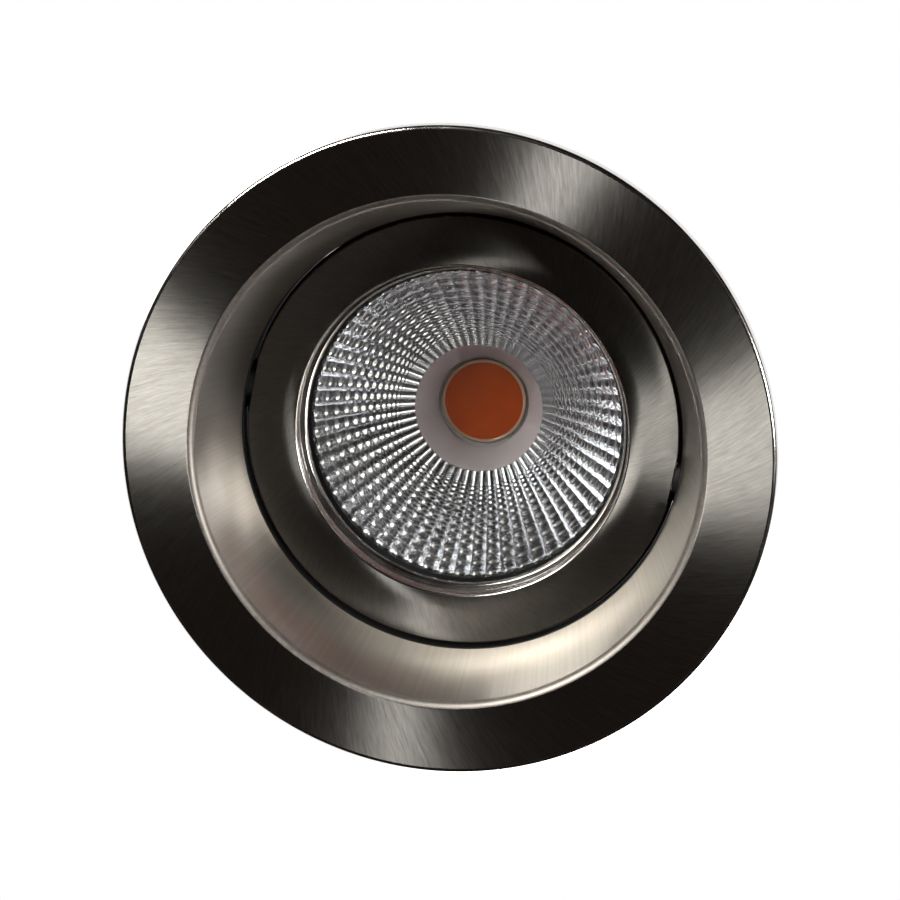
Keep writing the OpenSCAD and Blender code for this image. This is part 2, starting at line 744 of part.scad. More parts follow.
module lead_grommets() color([0.2, 0.2, 0.21])
    for (a = lead_angles) rotate([0, 0, a]) translate([lead_ring_r, 0, fin_z]) difference() {
        union() {
            translate([0, 0, -rear_plate_t]) cylinder(r = lead_hole_r - slip, h = rear_plate_t);
            cylinder(r = grommet_flange_r, h = grommet_flange_t);
        }
        translate([0, 0, -rear_plate_t - over])
            cylinder(r = lead_r + slip, h = rear_plate_t + 3 * over);
    }

// ---- rear cap and cable gland ----

module cap_gasket() color([0.11, 0.11, 0.12])
    ring_of(cap_r, cap_inner_r - cap_seal_in, fin_z + touch / 2, cap_z - touch / 2);

module rear_cap() color([0.1, 0.1, 0.1]) difference() {
    union() {
        difference() {
            rotate_extrude() polygon([[0, cap_z], [cap_r, cap_z],
                [cap_r, cap_roof_z - cap_chamfer], [cap_r - cap_chamfer, cap_roof_z],
                [0, cap_roof_z]]);
            translate([0, 0, cap_z - over])
                cylinder(r = cap_inner_r, h = cap_h - cap_wall + over);
        }
        both_sides() translate([cap_screw_x, 0, cap_z])
            cylinder(r = cap_column_r, h = cap_h - cap_wall / 2);
    }
    both_sides() {
        translate([cap_screw_x, 0, cap_z - over])
            cylinder(r = cap_screw_r + 2 * slip, h = cap_h + 2 * over);
        translate([cap_screw_x, 0, cap_roof_z - cap_sink])
            cylinder(r = cap_head_r + head_gap, h = cap_sink + over);
    }
    translate([0, 0, cap_z]) cylinder(r = gland_thread_r + slip, h = cap_h + over);
}

module cap_screws() color([0.62, 0.63, 0.65]) both_sides()
    translate([cap_screw_x, 0, cap_roof_z - cap_sink + touch])
        socket_screw(cap_head_r, cap_head_t, cap_screw_r,
                     cap_roof_z - cap_sink - fin_z + cap_screw_grip - tip_room);

module terminal_block() color([0.9, 0.9, 0.88]) difference() {
    translate([-block_w / 2, block_y - block_t / 2, block_z]) cube([block_w, block_t, block_h]);
    for (a = lead_angles) rotate([0, 0, a]) translate([lead_ring_r, 0, block_z - over])
        cylinder(r = lead_r + slip, h = lead_grip + over);
    for (x = [-block_w / 4, block_w / 4]) translate([x, block_y, block_z + block_h - block_screw_l])
        cylinder(r = block_screw_r + slip, h = block_screw_l + over);
}

module terminal_screws() color([0.8, 0.7, 0.4])
    for (x = [-block_w / 4, block_w / 4])
        translate([x, block_y, block_z + block_h - block_screw_l + slip]) difference() {
            cylinder(r = block_screw_r, h = block_screw_l - block_screw_sink);
            translate([-block_screw_r, -slot_w / 2, block_screw_l - block_screw_sink - slot_h])
                cube([2 * block_screw_r, slot_w, slot_h + over]);
        }

module gland_body() color([0.14, 0.14, 0.15]) difference() {
    union() {
        translate([0, 0, cap_roof_z + touch]) cylinder(r = nut_wall_r, h = gland_hex_t - touch, $fn = 6);
        translate([0, 0, cap_roof_z - cap_wall - gland_below])
            cylinder(r = gland_thread_r, h = cap_wall + gland_below + gland_hex_t + gland_above);
    }
    translate([0, 0, cap_roof_z - cap_wall - gland_below - over])
        cylinder(r = cable_r + cable_room, h = cap_h + 2 * gland_above);
    translate([0, 0, gland_z + gland_above - seal_down])
        cylinder(r = seal_r + slip, h = seal_down + over);
}

module gland_locknut() color([0.2, 0.2, 0.21]) difference() {
    translate([0, 0, cap_roof_z - cap_wall - locknut_t - touch])
        cylinder(r = locknut_af / 2 / cos(30), h = locknut_t, $fn = 6);
    translate([0, 0, cap_z]) cylinder(r = gland_thread_r + slip, h = cap_h);
}

module gland_seal() color([0.25, 0.25, 0.26])
    ring_of(seal_r, cable_r, gland_z + gland_above - seal_down + touch,
            gland_z + gland_above + seal_proud);

module gland_nut() color([0.12, 0.12, 0.13]) difference() {
    union() {
        translate([0, 0, gland_z + nut_gap]) cylinder(r = nut_wall_r, h = nut_hex_h, $fn = 6);
        translate([0, 0, gland_z + nut_gap + nut_hex_h - touch])
            cylinder(r1 = nut_dome_r, r2 = nut_dome_r - nut_dome_in, h = nut_dome_h + touch);
    }
    translate([0, 0, gland_z])
        cylinder(r = gland_thread_r + slip, h = nut_gap + gland_above + nut_room);
    translate([0, 0, gland_z])
        cylinder(r = cable_r + cable_room, h = nut_gap + nut_hex_h + nut_dome_h + over);
}

trim_ring();
soffit_gasket();
pivot_screws();
pivot_washers();
clip_bracket_right();
clip_bracket_left();
bracket_screws();
clip_axle_right();
clip_axle_left();
clip_spring_right();
clip_spring_left();
clip_arm_right();
clip_arm_left();
clip_pad_right();
clip_pad_left();
gimbal_ring();
bezel_ring();
glass_gasket();
cover_glass();
reflector();
source_holder();
holder_screws();
source_board();
source_dam();
phosphor_disc();
thermal_pad();
heat_sink();
heat_sink_screws();
lead_red();
lead_black();
lead_grommets();
cap_gasket();
rear_cap();
cap_screws();
terminal_block();
terminal_screws();
gland_body();
gland_locknut();
gland_seal();
gland_nut();
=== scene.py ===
from math import atan2, cos, degrees, hypot, pi, radians, sin, tan

import bmesh
import bpy
from mathutils import Matrix, Vector


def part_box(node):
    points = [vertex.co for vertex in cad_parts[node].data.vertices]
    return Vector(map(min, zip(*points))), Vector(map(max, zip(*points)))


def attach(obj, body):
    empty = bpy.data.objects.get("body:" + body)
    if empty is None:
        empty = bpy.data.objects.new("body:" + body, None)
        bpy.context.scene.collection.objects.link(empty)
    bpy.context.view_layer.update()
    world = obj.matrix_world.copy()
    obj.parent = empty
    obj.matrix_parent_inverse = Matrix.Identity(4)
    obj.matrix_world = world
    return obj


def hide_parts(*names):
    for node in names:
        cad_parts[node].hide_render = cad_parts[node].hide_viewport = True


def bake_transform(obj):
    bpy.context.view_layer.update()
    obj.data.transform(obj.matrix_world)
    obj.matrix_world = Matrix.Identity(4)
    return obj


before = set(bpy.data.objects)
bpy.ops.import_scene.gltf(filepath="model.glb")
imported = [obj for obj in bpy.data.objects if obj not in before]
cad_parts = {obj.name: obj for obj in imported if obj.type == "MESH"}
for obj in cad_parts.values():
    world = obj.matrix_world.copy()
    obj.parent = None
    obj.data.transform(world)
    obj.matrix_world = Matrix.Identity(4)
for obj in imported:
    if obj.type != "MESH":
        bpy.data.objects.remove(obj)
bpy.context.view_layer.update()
mm = 0.001
print("frame loaded, nodes:", len(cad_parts))

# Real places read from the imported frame, in metres
trimLow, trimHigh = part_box("trim_ring")
ringLow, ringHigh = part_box("gimbal_ring")
bezelLow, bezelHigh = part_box("bezel_ring")
reflectorLow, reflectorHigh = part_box("reflector")
holderLow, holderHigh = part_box("source_holder")
damLow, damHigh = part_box("source_dam")
glowLow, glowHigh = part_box("phosphor_disc")
flangeRadius = trimHigh.x
faceHeight = trimLow.z
ringRadius = ringHigh.y
ringHeight = ringLow.z
insertRadius = bezelHigh.x
pivotHeight = 15.9             # of the axis that the ring tilts about, in millimetres


# Camera and stage

cameraPlan = {
    "distance": 0.400,         # from the middle of the flange's face
    "offAxis": 15.45,          # degrees away from straight below
    "towards": 293.7,          # turn of the camera about the fitting, in degrees
    "imageRight": 347,         # the turn that points right in the picture
    "lens": 115.6,
    "sensor": 36,
    "nearest": 0.01,
    "aimRight": 0.87 * mm,     # the picture's middle, away from the flange's middle
    "aimUp": 0.95 * mm,
}


def aimed(location, target, right):
    # A camera or lamp at location that looks at target, with its X nearest to right
    back = (location - target).normalized()
    across = (right - right.dot(back) * back).normalized()
    facing = Matrix((across, back.cross(across), back)).transposed()
    return Matrix.Translation(location) @ facing.to_4x4()


def makeCamera(plan):
    middle = Vector((0, 0, faceHeight))
    tilt, turn, side = (radians(plan[key]) for key in ("offAxis", "towards", "imageRight"))
    towards = Vector((sin(tilt) * cos(turn), sin(tilt) * sin(turn), -cos(tilt)))
    location = middle + plan["distance"] * towards
    right = Vector((cos(side), sin(side), 0))
    straight = aimed(location, middle, right)
    across, up = straight.col[0].to_3d(), straight.col[1].to_3d()
    target = middle + plan["aimRight"] * across + plan["aimUp"] * up
    data = bpy.data.cameras.new("photoCamera")
    data.lens = plan["lens"]
    data.sensor_width = plan["sensor"]
    data.clip_start = plan["nearest"]
    camera = bpy.data.objects.new("photoCamera", data)
    camera.matrix_world = aimed(location, target, across)
    bpy.context.scene.collection.objects.link(camera)
    bpy.context.scene.camera = camera


# Lamps, as (turn about the fitting, degrees off its axis, width, height, watts, colour)
lampPlan = {
    "keyLamp": (216.5, 45, 0.76, 0.54, 28.5, (1, 0.985, 0.94)),
    "sideLamp": (349.5, 53, 0.36, 0.52, 16.0, (1, 0.98, 0.96)),
}
topLampPlan = {
    "topLamp": (60, 52, 2.0, 2.0, 34.0, (1, 1, 1)),
    "rimLamp": (200, 64, 1.6, 1.6, 16.0, (1, 1, 1)),
}
lampDistance = 2.0


def makeLamps(plan, side):
    # Side is -1 for lamps under the fitting and 1 for lamps above it
    for name, (turn, tilt, width, height, watts, color) in plan.items():
        data = bpy.data.lights.new(name, "AREA")
        data.shape = "RECTANGLE"
        data.size, data.size_y = width, height
        data.energy = watts
        data.color = color
        lamp = bpy.data.objects.new(name, data)
        turn, tilt = radians(turn), radians(tilt)
        towards = Vector((sin(tilt) * cos(turn), sin(tilt) * sin(turn), side * cos(tilt)))
        across = Vector((-sin(turn), cos(turn), 0))
        lamp.matrix_world = aimed(lampDistance * towards, Vector((0, 0, 0)), across)
        lamp.visible_camera = False
        bpy.context.scene.collection.objects.link(lamp)


def addNode(owner, kind, inputs=None, **settings):
    # One shader node; inputs take a value or another node's socket
    tree = owner.node_tree
    node = tree.nodes.new("ShaderNode" + kind)
    for key, value in settings.items():
        setattr(node, key, value)
    for key, value in (inputs or {}).items():
        if isinstance(value, bpy.types.NodeSocket):
            tree.links.new(value, node.inputs[key])
        else:
            node.inputs[key].default_value = value
    return node


def calc(owner, operation, *values):
    # One maths step, given as its operation and the values or sockets it takes
    return addNode(owner, "Math", dict(enumerate(values)), operation=operation).outputs[0]


worldPlan = {
    "shade": (0.10, 0.098, 0.095, 1),  # what lights the fitting softly from all round
    "above": (0.80, 0.80, 0.80, 1),
    "white": (1, 1, 1, 1),
    "fade": (-0.1, 0.5),       # the heights between which the shade turns into the light above
}


def backgroundRays(owner):
    # The rays that show the white background: the camera's own, and those in metal and glass
    path = addNode(owner, "LightPath").outputs
    mirrored = calc(owner, "MAXIMUM", path["Is Glossy Ray"], path["Is Transmission Ray"])
    return calc(owner, "MAXIMUM", path["Is Camera Ray"], mirrored)


def makeWorld(plan):
    world = bpy.data.worlds.new("studio")
    world.use_nodes = True
    bpy.context.scene.world = world
    background = world.node_tree.nodes["Background"]
    direction = addNode(world, "TexCoord").outputs["Generated"]
    height = addNode(world, "SeparateXYZ", {0: direction}).outputs["Z"]
    rise = ranged(world, height, 0.0, 1.0, *plan["fade"])
    soft = addNode(world, "MixRGB", {"Fac": rise, "Color1": plan["shade"], "Color2": plan["above"]})
    mix = addNode(world, "MixRGB", {"Fac": backgroundRays(world), "Color1": soft.outputs[0],
                                    "Color2": plan["white"]})
    world.node_tree.links.new(mix.outputs[0], background.inputs["Color"])
    background.inputs["Strength"].default_value = 1


def stageObject(bm, name, color, roughness):
    mesh = bpy.data.meshes.new(name)
    bm.to_mesh(mesh)
    bm.free()
    thing = bpy.data.objects.new(name, mesh)
    bpy.context.scene.collection.objects.link(thing)
    mat = bpy.data.materials.new(name)
    mat.use_nodes = True
    surface = mat.node_tree.nodes["Principled BSDF"]
    surface.inputs["Base Color"].default_value = color
    surface.inputs["Roughness"].default_value = roughness
    surface.inputs["Specular IOR Level"].default_value = 0.1
    mesh.materials.append(mat)
    return thing, mat, surface


floorPlan = {
    "drop": 2.4,               # how far the floor lies under the fitting
    "size": 16, "cells": 8, "roughness": 0.9,
    "color": (0.80, 0.80, 0.80, 1),
    "white": (1, 1, 1, 1),
    "glow": 0.55,              # lifts the floor to white where the background rays see it
}


def makeFloor(plan):
    bm = bmesh.new()
    bmesh.ops.create_grid(bm, x_segments=plan["cells"], y_segments=plan["cells"],
                          size=plan["size"] / 2)
    bmesh.ops.translate(bm, verts=bm.verts[:], vec=(0, 0, -plan["drop"]))
    mat, surface = stageObject(bm, "studioFloor", plan["color"], plan["roughness"])[1:]
    pale = addNode(mat, "Emission", {"Color": plan["white"], "Strength": plan["glow"]})
    both = addNode(mat, "AddShader", {0: surface.outputs[0], 1: pale.outputs[0]})
    mix = addNode(mat, "MixShader", {0: backgroundRays(mat), 1: surface.outputs[0],
                                     2: both.outputs[0]})
    plug(mat, mix.outputs[0], mat.node_tree.nodes["Material Output"].inputs["Surface"])


drapePlan = {
    "radius": 3.0, "low": -2.3, "high": 0.6, "rounding": 0.9, "roughness": 1.0,
    "color": (0.014, 0.011, 0.010, 1),
}


def makeDrape(plan):
    # The dark cloth round the lamps, which the brushed metal mirrors between its two highlights
    bm = bmesh.new()
    bmesh.ops.create_circle(bm, cap_ends=True, segments=64, radius=plan["radius"])
    bmesh.ops.translate(bm, verts=bm.verts[:], vec=(0, 0, plan["low"]))
    rim = [e for e in bm.edges if e.is_boundary]
    grown = bmesh.ops.extrude_edge_only(bm, edges=rim)["geom"]
    bmesh.ops.translate(bm, verts=[g for g in grown if isinstance(g, bmesh.types.BMVert)],
                        vec=(0, 0, plan["high"] - plan["low"]))
    bmesh.ops.bevel(bm, geom=rim, offset=plan["rounding"], segments=6, profile=0.5, affect="EDGES",
                    clamp_overlap=True, material=-1)
    drape = stageObject(bm, "darkDrape", plan["color"], plan["roughness"])[0]
    drape.visible_camera = False


# Materials, in metres on object coordinates


def newMaterial(name, color, roughness, metallic=0.0):
    mat = bpy.data.materials.new(name)
    mat.use_nodes = True
    surface = mat.node_tree.nodes["Principled BSDF"]
    surface.inputs["Base Color"].default_value = (*color, 1)
    surface.inputs["Roughness"].default_value = roughness
    surface.inputs["Metallic"].default_value = metallic
    return mat, surface


def plug(mat, source, target):
    mat.node_tree.links.new(source, target)


def ramped(mat, source, stops):
    # A colour ramp through (position, colour) stops
    node = addNode(mat, "ValToRGB", {"Fac": source})
    elements = node.color_ramp.elements
    for element, (position, color) in zip(elements, stops):
        element.position = position
        element.color = (*color, 1)
    for position, color in stops[2:]:
        elements.new(position).color = (*color, 1)
    return node.outputs["Color"]


def ranged(mat, source, low, high, fromLow=0.0, fromHigh=1.0):
    node = addNode(mat, "MapRange", {"Value": source, "From Min": fromLow, "From Max": fromHigh,
                                     "To Min": low, "To Max": high})
    return node.outputs["Result"]


def noise(mat, vector, scale, detail=3.0, rough=0.5):
    node = addNode(mat, "TexNoise", {"Vector": vector, "Scale": scale, "Detail": detail,
                                     "Roughness": rough})
    return node.outputs["Fac"]


def objectPlace(mat):
    return addNode(mat, "TexCoord").outputs["Object"]


def stretched(mat, scale, detail):
    # Noise drawn out into lines by a different scale on each axis
    lines = addNode(mat, "Mapping", {"Vector": objectPlace(mat), "Scale": scale})
    return noise(mat, lines.outputs[0], 1.0, detail)


def bumped(mat, surface, height, distance, strength=1.0):
    bump = addNode(mat, "Bump", {"Height": height, "Distance": distance, "Strength": strength})
    plug(mat, bump.outputs[0], surface.inputs["Normal"])


brushPlan = {
    "lean": -28.0,             # degrees that the brush marks lean from a straight spoke
    "spokes": 700.0,           # how many coarse streaks lie round the ring
    "marks": 2200.0,           # how many fine marks lie round the ring
    "run": 10.0,               # how fast a streak fades along its length
    "markRun": 24.0,
    "anisotropy": 1.0,
    "turn": 0.078,             # the lean as a share of a full turn
    "slopeMarks": 620.0,       # how many marks run down the recess wall
    "slopeRun": 1.2,
    "midRadius": 0.030,        # where the leaning spokes cross the straight ones, in metres
    "dark": (0.48, 0.46, 0.425),
    "pale": (0.76, 0.735, 0.69),
}
turnLength = 6.28              # of a circle of radius 1
naturalBase = 2.718281828


def vectorCalc(mat, operation, inputs):
    return addNode(mat, "VectorMath", inputs, operation=operation).outputs[0]


def brushVector(mat, plan, around, along):
    # Coordinates that are long along leaning spokes: a turned unit circle, and the radius's log
    place = objectPlace(mat)
    split = addNode(mat, "SeparateXYZ", {0: place}).outputs
    squares = [calc(mat, "MULTIPLY", split[axis], split[axis]) for axis in ("X", "Y")]
    radius = calc(mat, "SQRT", calc(mat, "ADD", *squares))
    share = calc(mat, "DIVIDE", radius, plan["midRadius"])
    logRadius = calc(mat, "LOGARITHM", share, naturalBase)
    angle = calc(mat, "MULTIPLY", logRadius, -tan(radians(plan["lean"])))
    turned = addNode(mat, "VectorRotate", {"Vector": place, "Angle": angle},
                     rotation_type="Z_AXIS").outputs[0]
    flat = vectorCalc(mat, "MULTIPLY", {0: turned, 1: (1, 1, 0)})
    unit = vectorCalc(mat, "NORMALIZE", {0: flat})
    wide = vectorCalc(mat, "SCALE", {0: unit, "Scale": around})
    depth = addNode(mat, "CombineXYZ", {"Z": calc(mat, "MULTIPLY", logRadius, along)})
    return vectorCalc(mat, "ADD", {0: wide, 1: depth.outputs[0]})


def brushedNickel(name, tone, plan=brushPlan):
    mat, surface = newMaterial(name, (0.62, 0.59, 0.55), 0.27, 1.0)
    streaks = brushVector(mat, plan, plan["spokes"] / turnLength, plan["run"])
    coarse = noise(mat, streaks, 1.0, 4.0, 0.55)
    scratches = brushVector(mat, plan, plan["marks"] / turnLength, plan["markRun"])
    fine = noise(mat, scratches, 1.0, 3.0, 0.6)
    both = addNode(mat, "Mix", {0: 0.55, 2: coarse, 3: fine}).outputs[0]
    dark, pale = (tuple(tone * c for c in plan[key]) for key in ("dark", "pale"))
    plug(mat, ramped(mat, both, [(0.30, dark), (0.70, pale)]), surface.inputs["Base Color"])
    plug(mat, ranged(mat, both, 0.27, 0.34, 0.3, 0.7), surface.inputs["Roughness"])
    bumped(mat, surface, both, 0.000006, 0.5)
    surface.inputs["Anisotropic"].default_value = plan["anisotropy"]
    surface.inputs["Anisotropic Rotation"].default_value = plan["turn"]
    tangent = addNode(mat, "Tangent", direction_type="RADIAL", axis="Z")
    plug(mat, tangent.outputs[0], surface.inputs["Tangent"])
    return mat


def satinNickel(plan=brushPlan):
    # The recess wall: softly blasted, with faint marks that run down its slope
    mat, surface = newMaterial("satinNickel", (0.59, 0.55, 0.50), 0.29, 1.0)
    straight = dict(plan, lean=0.0)
    slope = brushVector(mat, straight, plan["slopeMarks"] / turnLength, plan["slopeRun"])
    marks = noise(mat, slope, 1.0, 0.0)
    cloud = noise(mat, objectPlace(mat), 110, 1.0)
    both = addNode(mat, "Mix", {0: 0.5, 2: marks, 3: cloud}).outputs[0]
    plug(mat, ramped(mat, both, [(0.25, (0.53, 0.49, 0.445)), (0.75, (0.64, 0.60, 0.55))]),
         surface.inputs["Base Color"])
    plug(mat, ranged(mat, cloud, 0.275, 0.305, 0.2, 0.8), surface.inputs["Roughness"])
    return mat


def softEdge():
    # The rolled lip of the mouth, where the brush marks end in a duller band
    mat, surface = newMaterial("softEdge", (0.50, 0.46, 0.42), 0.5, 1.0)
    grain = noise(mat, objectPlace(mat), 1900, 3.0)
    plug(mat, ramped(mat, grain, [(0.3, (0.44, 0.40, 0.36)), (0.7, (0.54, 0.50, 0.46))]),
         surface.inputs["Base Color"])
    plug(mat, ranged(mat, grain, 0.44, 0.54, 0.3, 0.7), surface.inputs["Roughness"])
    return mat


def paintedReflectionEdge():
    # Narrow chamfers shown as a brown line: a painted reflection
    mat, surface = newMaterial("paintedReflectionEdge", (0.26, 0.18, 0.135), 0.45, 1.0)
    grain = noise(mat, objectPlace(mat), 700, 3.0)
    plug(mat, ramped(mat, grain, [(0.3, (0.18, 0.12, 0.09)), (0.7, (0.33, 0.24, 0.18))]),
         surface.inputs["Base Color"])
    plug(mat, ranged(mat, grain, 0.40, 0.52, 0.3, 0.7), surface.inputs["Roughness"])
    return mat


def turnedEdge():
    # Bright turned chamfers and roundings
    mat, surface = newMaterial("turnedEdge", (0.78, 0.76, 0.73), 0.16, 1.0)
    streaks = stretched(mat, (200, 200, 4000), 2.0)
    plug(mat, ranged(mat, streaks, 0.12, 0.22, 0.3, 0.7), surface.inputs["Roughness"])
    plug(mat, ramped(mat, streaks, [(0.3, (0.72, 0.70, 0.67)), (0.7, (0.82, 0.80, 0.78))]),
         surface.inputs["Base Color"])
    return mat


def castMetal(name, color, roughness, grainSize, depth, metallic=1.0, wear=None):
    # A cast, plated or anodised surface: soft mottling, fine grain, and paler worn edges
    mat, surface = newMaterial(name, color, roughness, metallic)
    place = objectPlace(mat)
    mottle = noise(mat, place, 90, 4.0)
    grain = noise(mat, place, grainSize, 3.0)
    dark = tuple(0.82 * c for c in color)
    pale = tuple(min(1, 1.12 * c) for c in color)
    shade = ramped(mat, mottle, [(0.3, dark), (0.7, pale)])
    if wear:
        # A rubbed edge shows in the pointiness of the mesh
        pointed = addNode(mat, "NewGeometry").outputs["Pointiness"]
        edge = ranged(mat, pointed, 0.0, 1.0, 0.52, 0.60)
        rubbed = addNode(mat, "MixRGB", {"Fac": edge, "Color1": shade, "Color2": (*wear, 1)})
        shade = rubbed.outputs[0]
    plug(mat, shade, surface.inputs["Base Color"])
    plug(mat, ranged(mat, grain, roughness - 0.06, roughness + 0.08, 0.3, 0.7),
         surface.inputs["Roughness"])
    bumped(mat, surface, grain, depth, 0.6)
    return mat


def drawnSheet():
    # Zinc plated sheet with faint rolling lines along its length
    mat, surface = newMaterial("zincSheet", (0.60, 0.61, 0.64), 0.32, 1.0)
    lines = stretched(mat, (2200, 60, 60), 3.0)
    spangle = addNode(mat, "TexVoronoi", {"Vector": objectPlace(mat), "Scale": 420.0})
    patch = addNode(mat, "Mix", {0: 0.35, 2: lines, 3: spangle.outputs["Distance"]}).outputs[0]
    plug(mat, ramped(mat, patch, [(0.2, (0.36, 0.37, 0.385)), (0.75, (0.52, 0.53, 0.555))]),
         surface.inputs["Base Color"])
    plug(mat, ranged(mat, lines, 0.26, 0.42, 0.3, 0.7), surface.inputs["Roughness"])
    bumped(mat, surface, lines, 0.000008, 0.5)
    return mat


def moulded(name, color, roughness, depth=0.00002, grainSize=1500.0, sheen=0.0):
    # Moulded plastic or rubber: spark-eroded texture with slight colour drift
    mat, surface = newMaterial(name, color, roughness)
    place = objectPlace(mat)
    drift = noise(mat, place, 60, 3.0)
    grain = noise(mat, place, grainSize, 3.0, 0.6)
    dark = tuple(0.88 * c for c in color)
    pale = tuple(min(1, 1.1 * c) for c in color)
    plug(mat, ramped(mat, drift, [(0.3, dark), (0.7, pale)]), surface.inputs["Base Color"])
    plug(mat, ranged(mat, grain, roughness - 0.08, roughness + 0.08, 0.3, 0.7),
         surface.inputs["Roughness"])
    bumped(mat, surface, grain, depth, 0.5)
    surface.inputs["Sheen Weight"].default_value = sheen
    return mat


def clearGlass():
    # Toughened glass; lamps reach through it so that what lies behind is lit
    mat, surface = newMaterial("clearGlass", (0.98, 0.99, 0.985), 0.0)
    surface.inputs["Transmission Weight"].default_value = 1.0
    surface.inputs["IOR"].default_value = 1.45
    path = addNode(mat, "LightPath")
    passing = addNode(mat, "BsdfTransparent", {"Color": (0.96, 0.97, 0.965, 1)})
    mix = addNode(mat, "MixShader", {0: path.outputs["Is Shadow Ray"], 1: surface.outputs[0],
                                     2: passing.outputs[0]})
    plug(mat, mix.outputs[0], mat.node_tree.nodes["Material Output"].inputs["Surface"])
    return mat


def metallised():
    # Vapour-plated plastic, nearly a mirror
    mat, surface = newMaterial("metallised", (0.86, 0.87, 0.90), 0.14, 1.0)
    haze = noise(mat, objectPlace(mat), 300, 2.0)
    plug(mat, ramped(mat, haze, [(0.3, (0.80, 0.81, 0.86)), (0.7, (0.90, 0.91, 0.94))]),
         surface.inputs["Base Color"])
    plug(mat, ranged(mat, haze, 0.12, 0.16, 0.3, 0.7), surface.inputs["Roughness"])
    return mat


def amberSilicone():
    # Phosphor in clear silicone: a deep amber that lets light in a little way
    mat, surface = newMaterial("amberSilicone", (0.38, 0.05, 0.002), 0.35)
    place = objectPlace(mat)
    grains = noise(mat, place, 5200, 2.0)
    cloud = noise(mat, place, 170, 2.0)
    both = addNode(mat, "Mix", {0: 0.5, 2: grains, 3: cloud}).outputs[0]
    plug(mat, ramped(mat, both, [(0.3, (0.265, 0.031, 0.0012)), (0.7, (0.44, 0.066, 0.003))]),
         surface.inputs["Base Color"])
    surface.inputs["Subsurface Weight"].default_value = 0.35
    surface.inputs["Subsurface Radius"].default_value = (1.0, 0.4, 0.1)
    surface.inputs["Subsurface Scale"].default_value = 0.0006
    surface.inputs["Coat Weight"].default_value = 0.1
    surface.inputs["Coat Roughness"].default_value = 0.25
    bumped(mat, surface, grains, 0.00001, 0.4)
    return mat


def makeFinishes():
    # Metals take (name, colour, roughness, grain, depth, metallic, worn edge), and mouldings
    # (name, colour, roughness, depth, grain, sheen)
    return {
        "brushed": brushedNickel("brushedNickel", 1.0),
        # The ring's copy of the brushed nickel at 0.62 of the flange's tone: painted shade of the
        # deep recess
        "brushedInShade": brushedNickel("brushedNickelRing", 0.62),
        "satin": satinNickel(),
        "softEdge": softEdge(),
        "paintedReflectionEdge": paintedReflectionEdge(),
        "turned": turnedEdge(),
        "cast": castMetal("castZinc", (0.33, 0.325, 0.31), 0.48, 1800, 0.00003),
        "zinc": castMetal("zincSteel", (0.47, 0.48, 0.50), 0.30, 1500, 0.00001),
        "sheet": drawnSheet(),
        "spring": castMetal("springSteel", (0.42, 0.43, 0.45), 0.26, 2400, 0.000006),
        "black": castMetal("blackAnodised", (0.022, 0.022, 0.024), 0.38, 2400, 0.00001, 0.6,
                           (0.10, 0.10, 0.105)),
        "plastic": moulded("blackPlastic", (0.022, 0.022, 0.024), 0.48),
        "rubber": moulded("blackRubber", (0.020, 0.020, 0.020), 0.72, 0.00003, 1100, 0.15),
        # Near-black filling of the running gap: painted shade
        "gapShadeFill": moulded("gapShadeBlack", (0.012, 0.012, 0.012), 0.92, 0.00004, 900),
        # Near-black for the running gap's walls and the reflector's rim: painted shade
        "paintedShadeBlack": moulded("paintedShadeBlack", (0.010, 0.010, 0.011), 0.50),
        # White plastic darkened to grey-mauve: painted shade of the funnel deep in the reflector,
        # shared by the terminal block
        "white": moulded("shadedWhiteMoulding", (0.32, 0.285, 0.29), 0.42, 0.000008, 1800),
        "board": castMetal("boardMetal", (0.72, 0.74, 0.73), 0.40, 1500, 0.00001),
        "dam": moulded("damSilicone", (0.31, 0.205, 0.145), 0.35, 0.000006, 2400),
        "glow": amberSilicone(),
        "pad": moulded("thermalPad", (0.30, 0.31, 0.34), 0.75),
        "glass": clearGlass(),
        "mirror": metallised(),
        "redWire": moulded("redInsulation", (0.50, 0.018, 0.014), 0.38, 0.000006),
        "blackWire": moulded("blackInsulation", (0.022, 0.022, 0.022), 0.38, 0.000006),
        "brass": castMetal("brass", (0.70, 0.52, 0.24), 0.28, 1500, 0.00001),
    }


# Modelling helpers; outlines are written in millimetres


def profile(points):
    # A closed outline in the XZ plane from (radius, height) in millimetres
    bm = bmesh.new()
    verts = [bm.verts.new((r * mm, 0, z * mm)) for r, z in points]
    for a, b in zip(verts, verts[1:] + verts[:1]):
        bm.edges.new((a, b))
    return bm


def rounded(bm, width, segments=3):
    # Rounds every corner of an outline before it is spun
    bmesh.ops.bevel(bm, geom=bm.verts[:] + bm.edges[:], offset=width, segments=segments,
                    profile=0.5, affect="VERTICES", clamp_overlap=True, material=-1)


def spun(bm, steps):
    bmesh.ops.spin(bm, geom=bm.verts[:] + bm.edges[:], cent=(0, 0, 0), axis=(0, 0, 1), angle=2 * pi,
                   steps=steps, use_merge=True)
    bmesh.ops.recalc_face_normals(bm, faces=bm.faces[:])
    return bm


def arcPoints(centre, radius, start, end, count):
    turns = [radians(start + (end - start) * i / count) for i in range(count + 1)]
    return [(centre[0] + radius * cos(turn), centre[1] + radius * sin(turn)) for turn in turns]


def easeEdges(bm, edges, width):
    bmesh.ops.bevel(bm, geom=edges, offset=width, segments=2, profile=0.5, affect="EDGES",
                    clamp_overlap=True, material=-1)


def bevelSharp(bm, width, least=30):
    edges = [e for e in bm.edges
             if len(e.link_faces) == 2 and degrees(e.calc_face_angle(0)) > least]
    if edges:
        easeEdges(bm, edges, width)


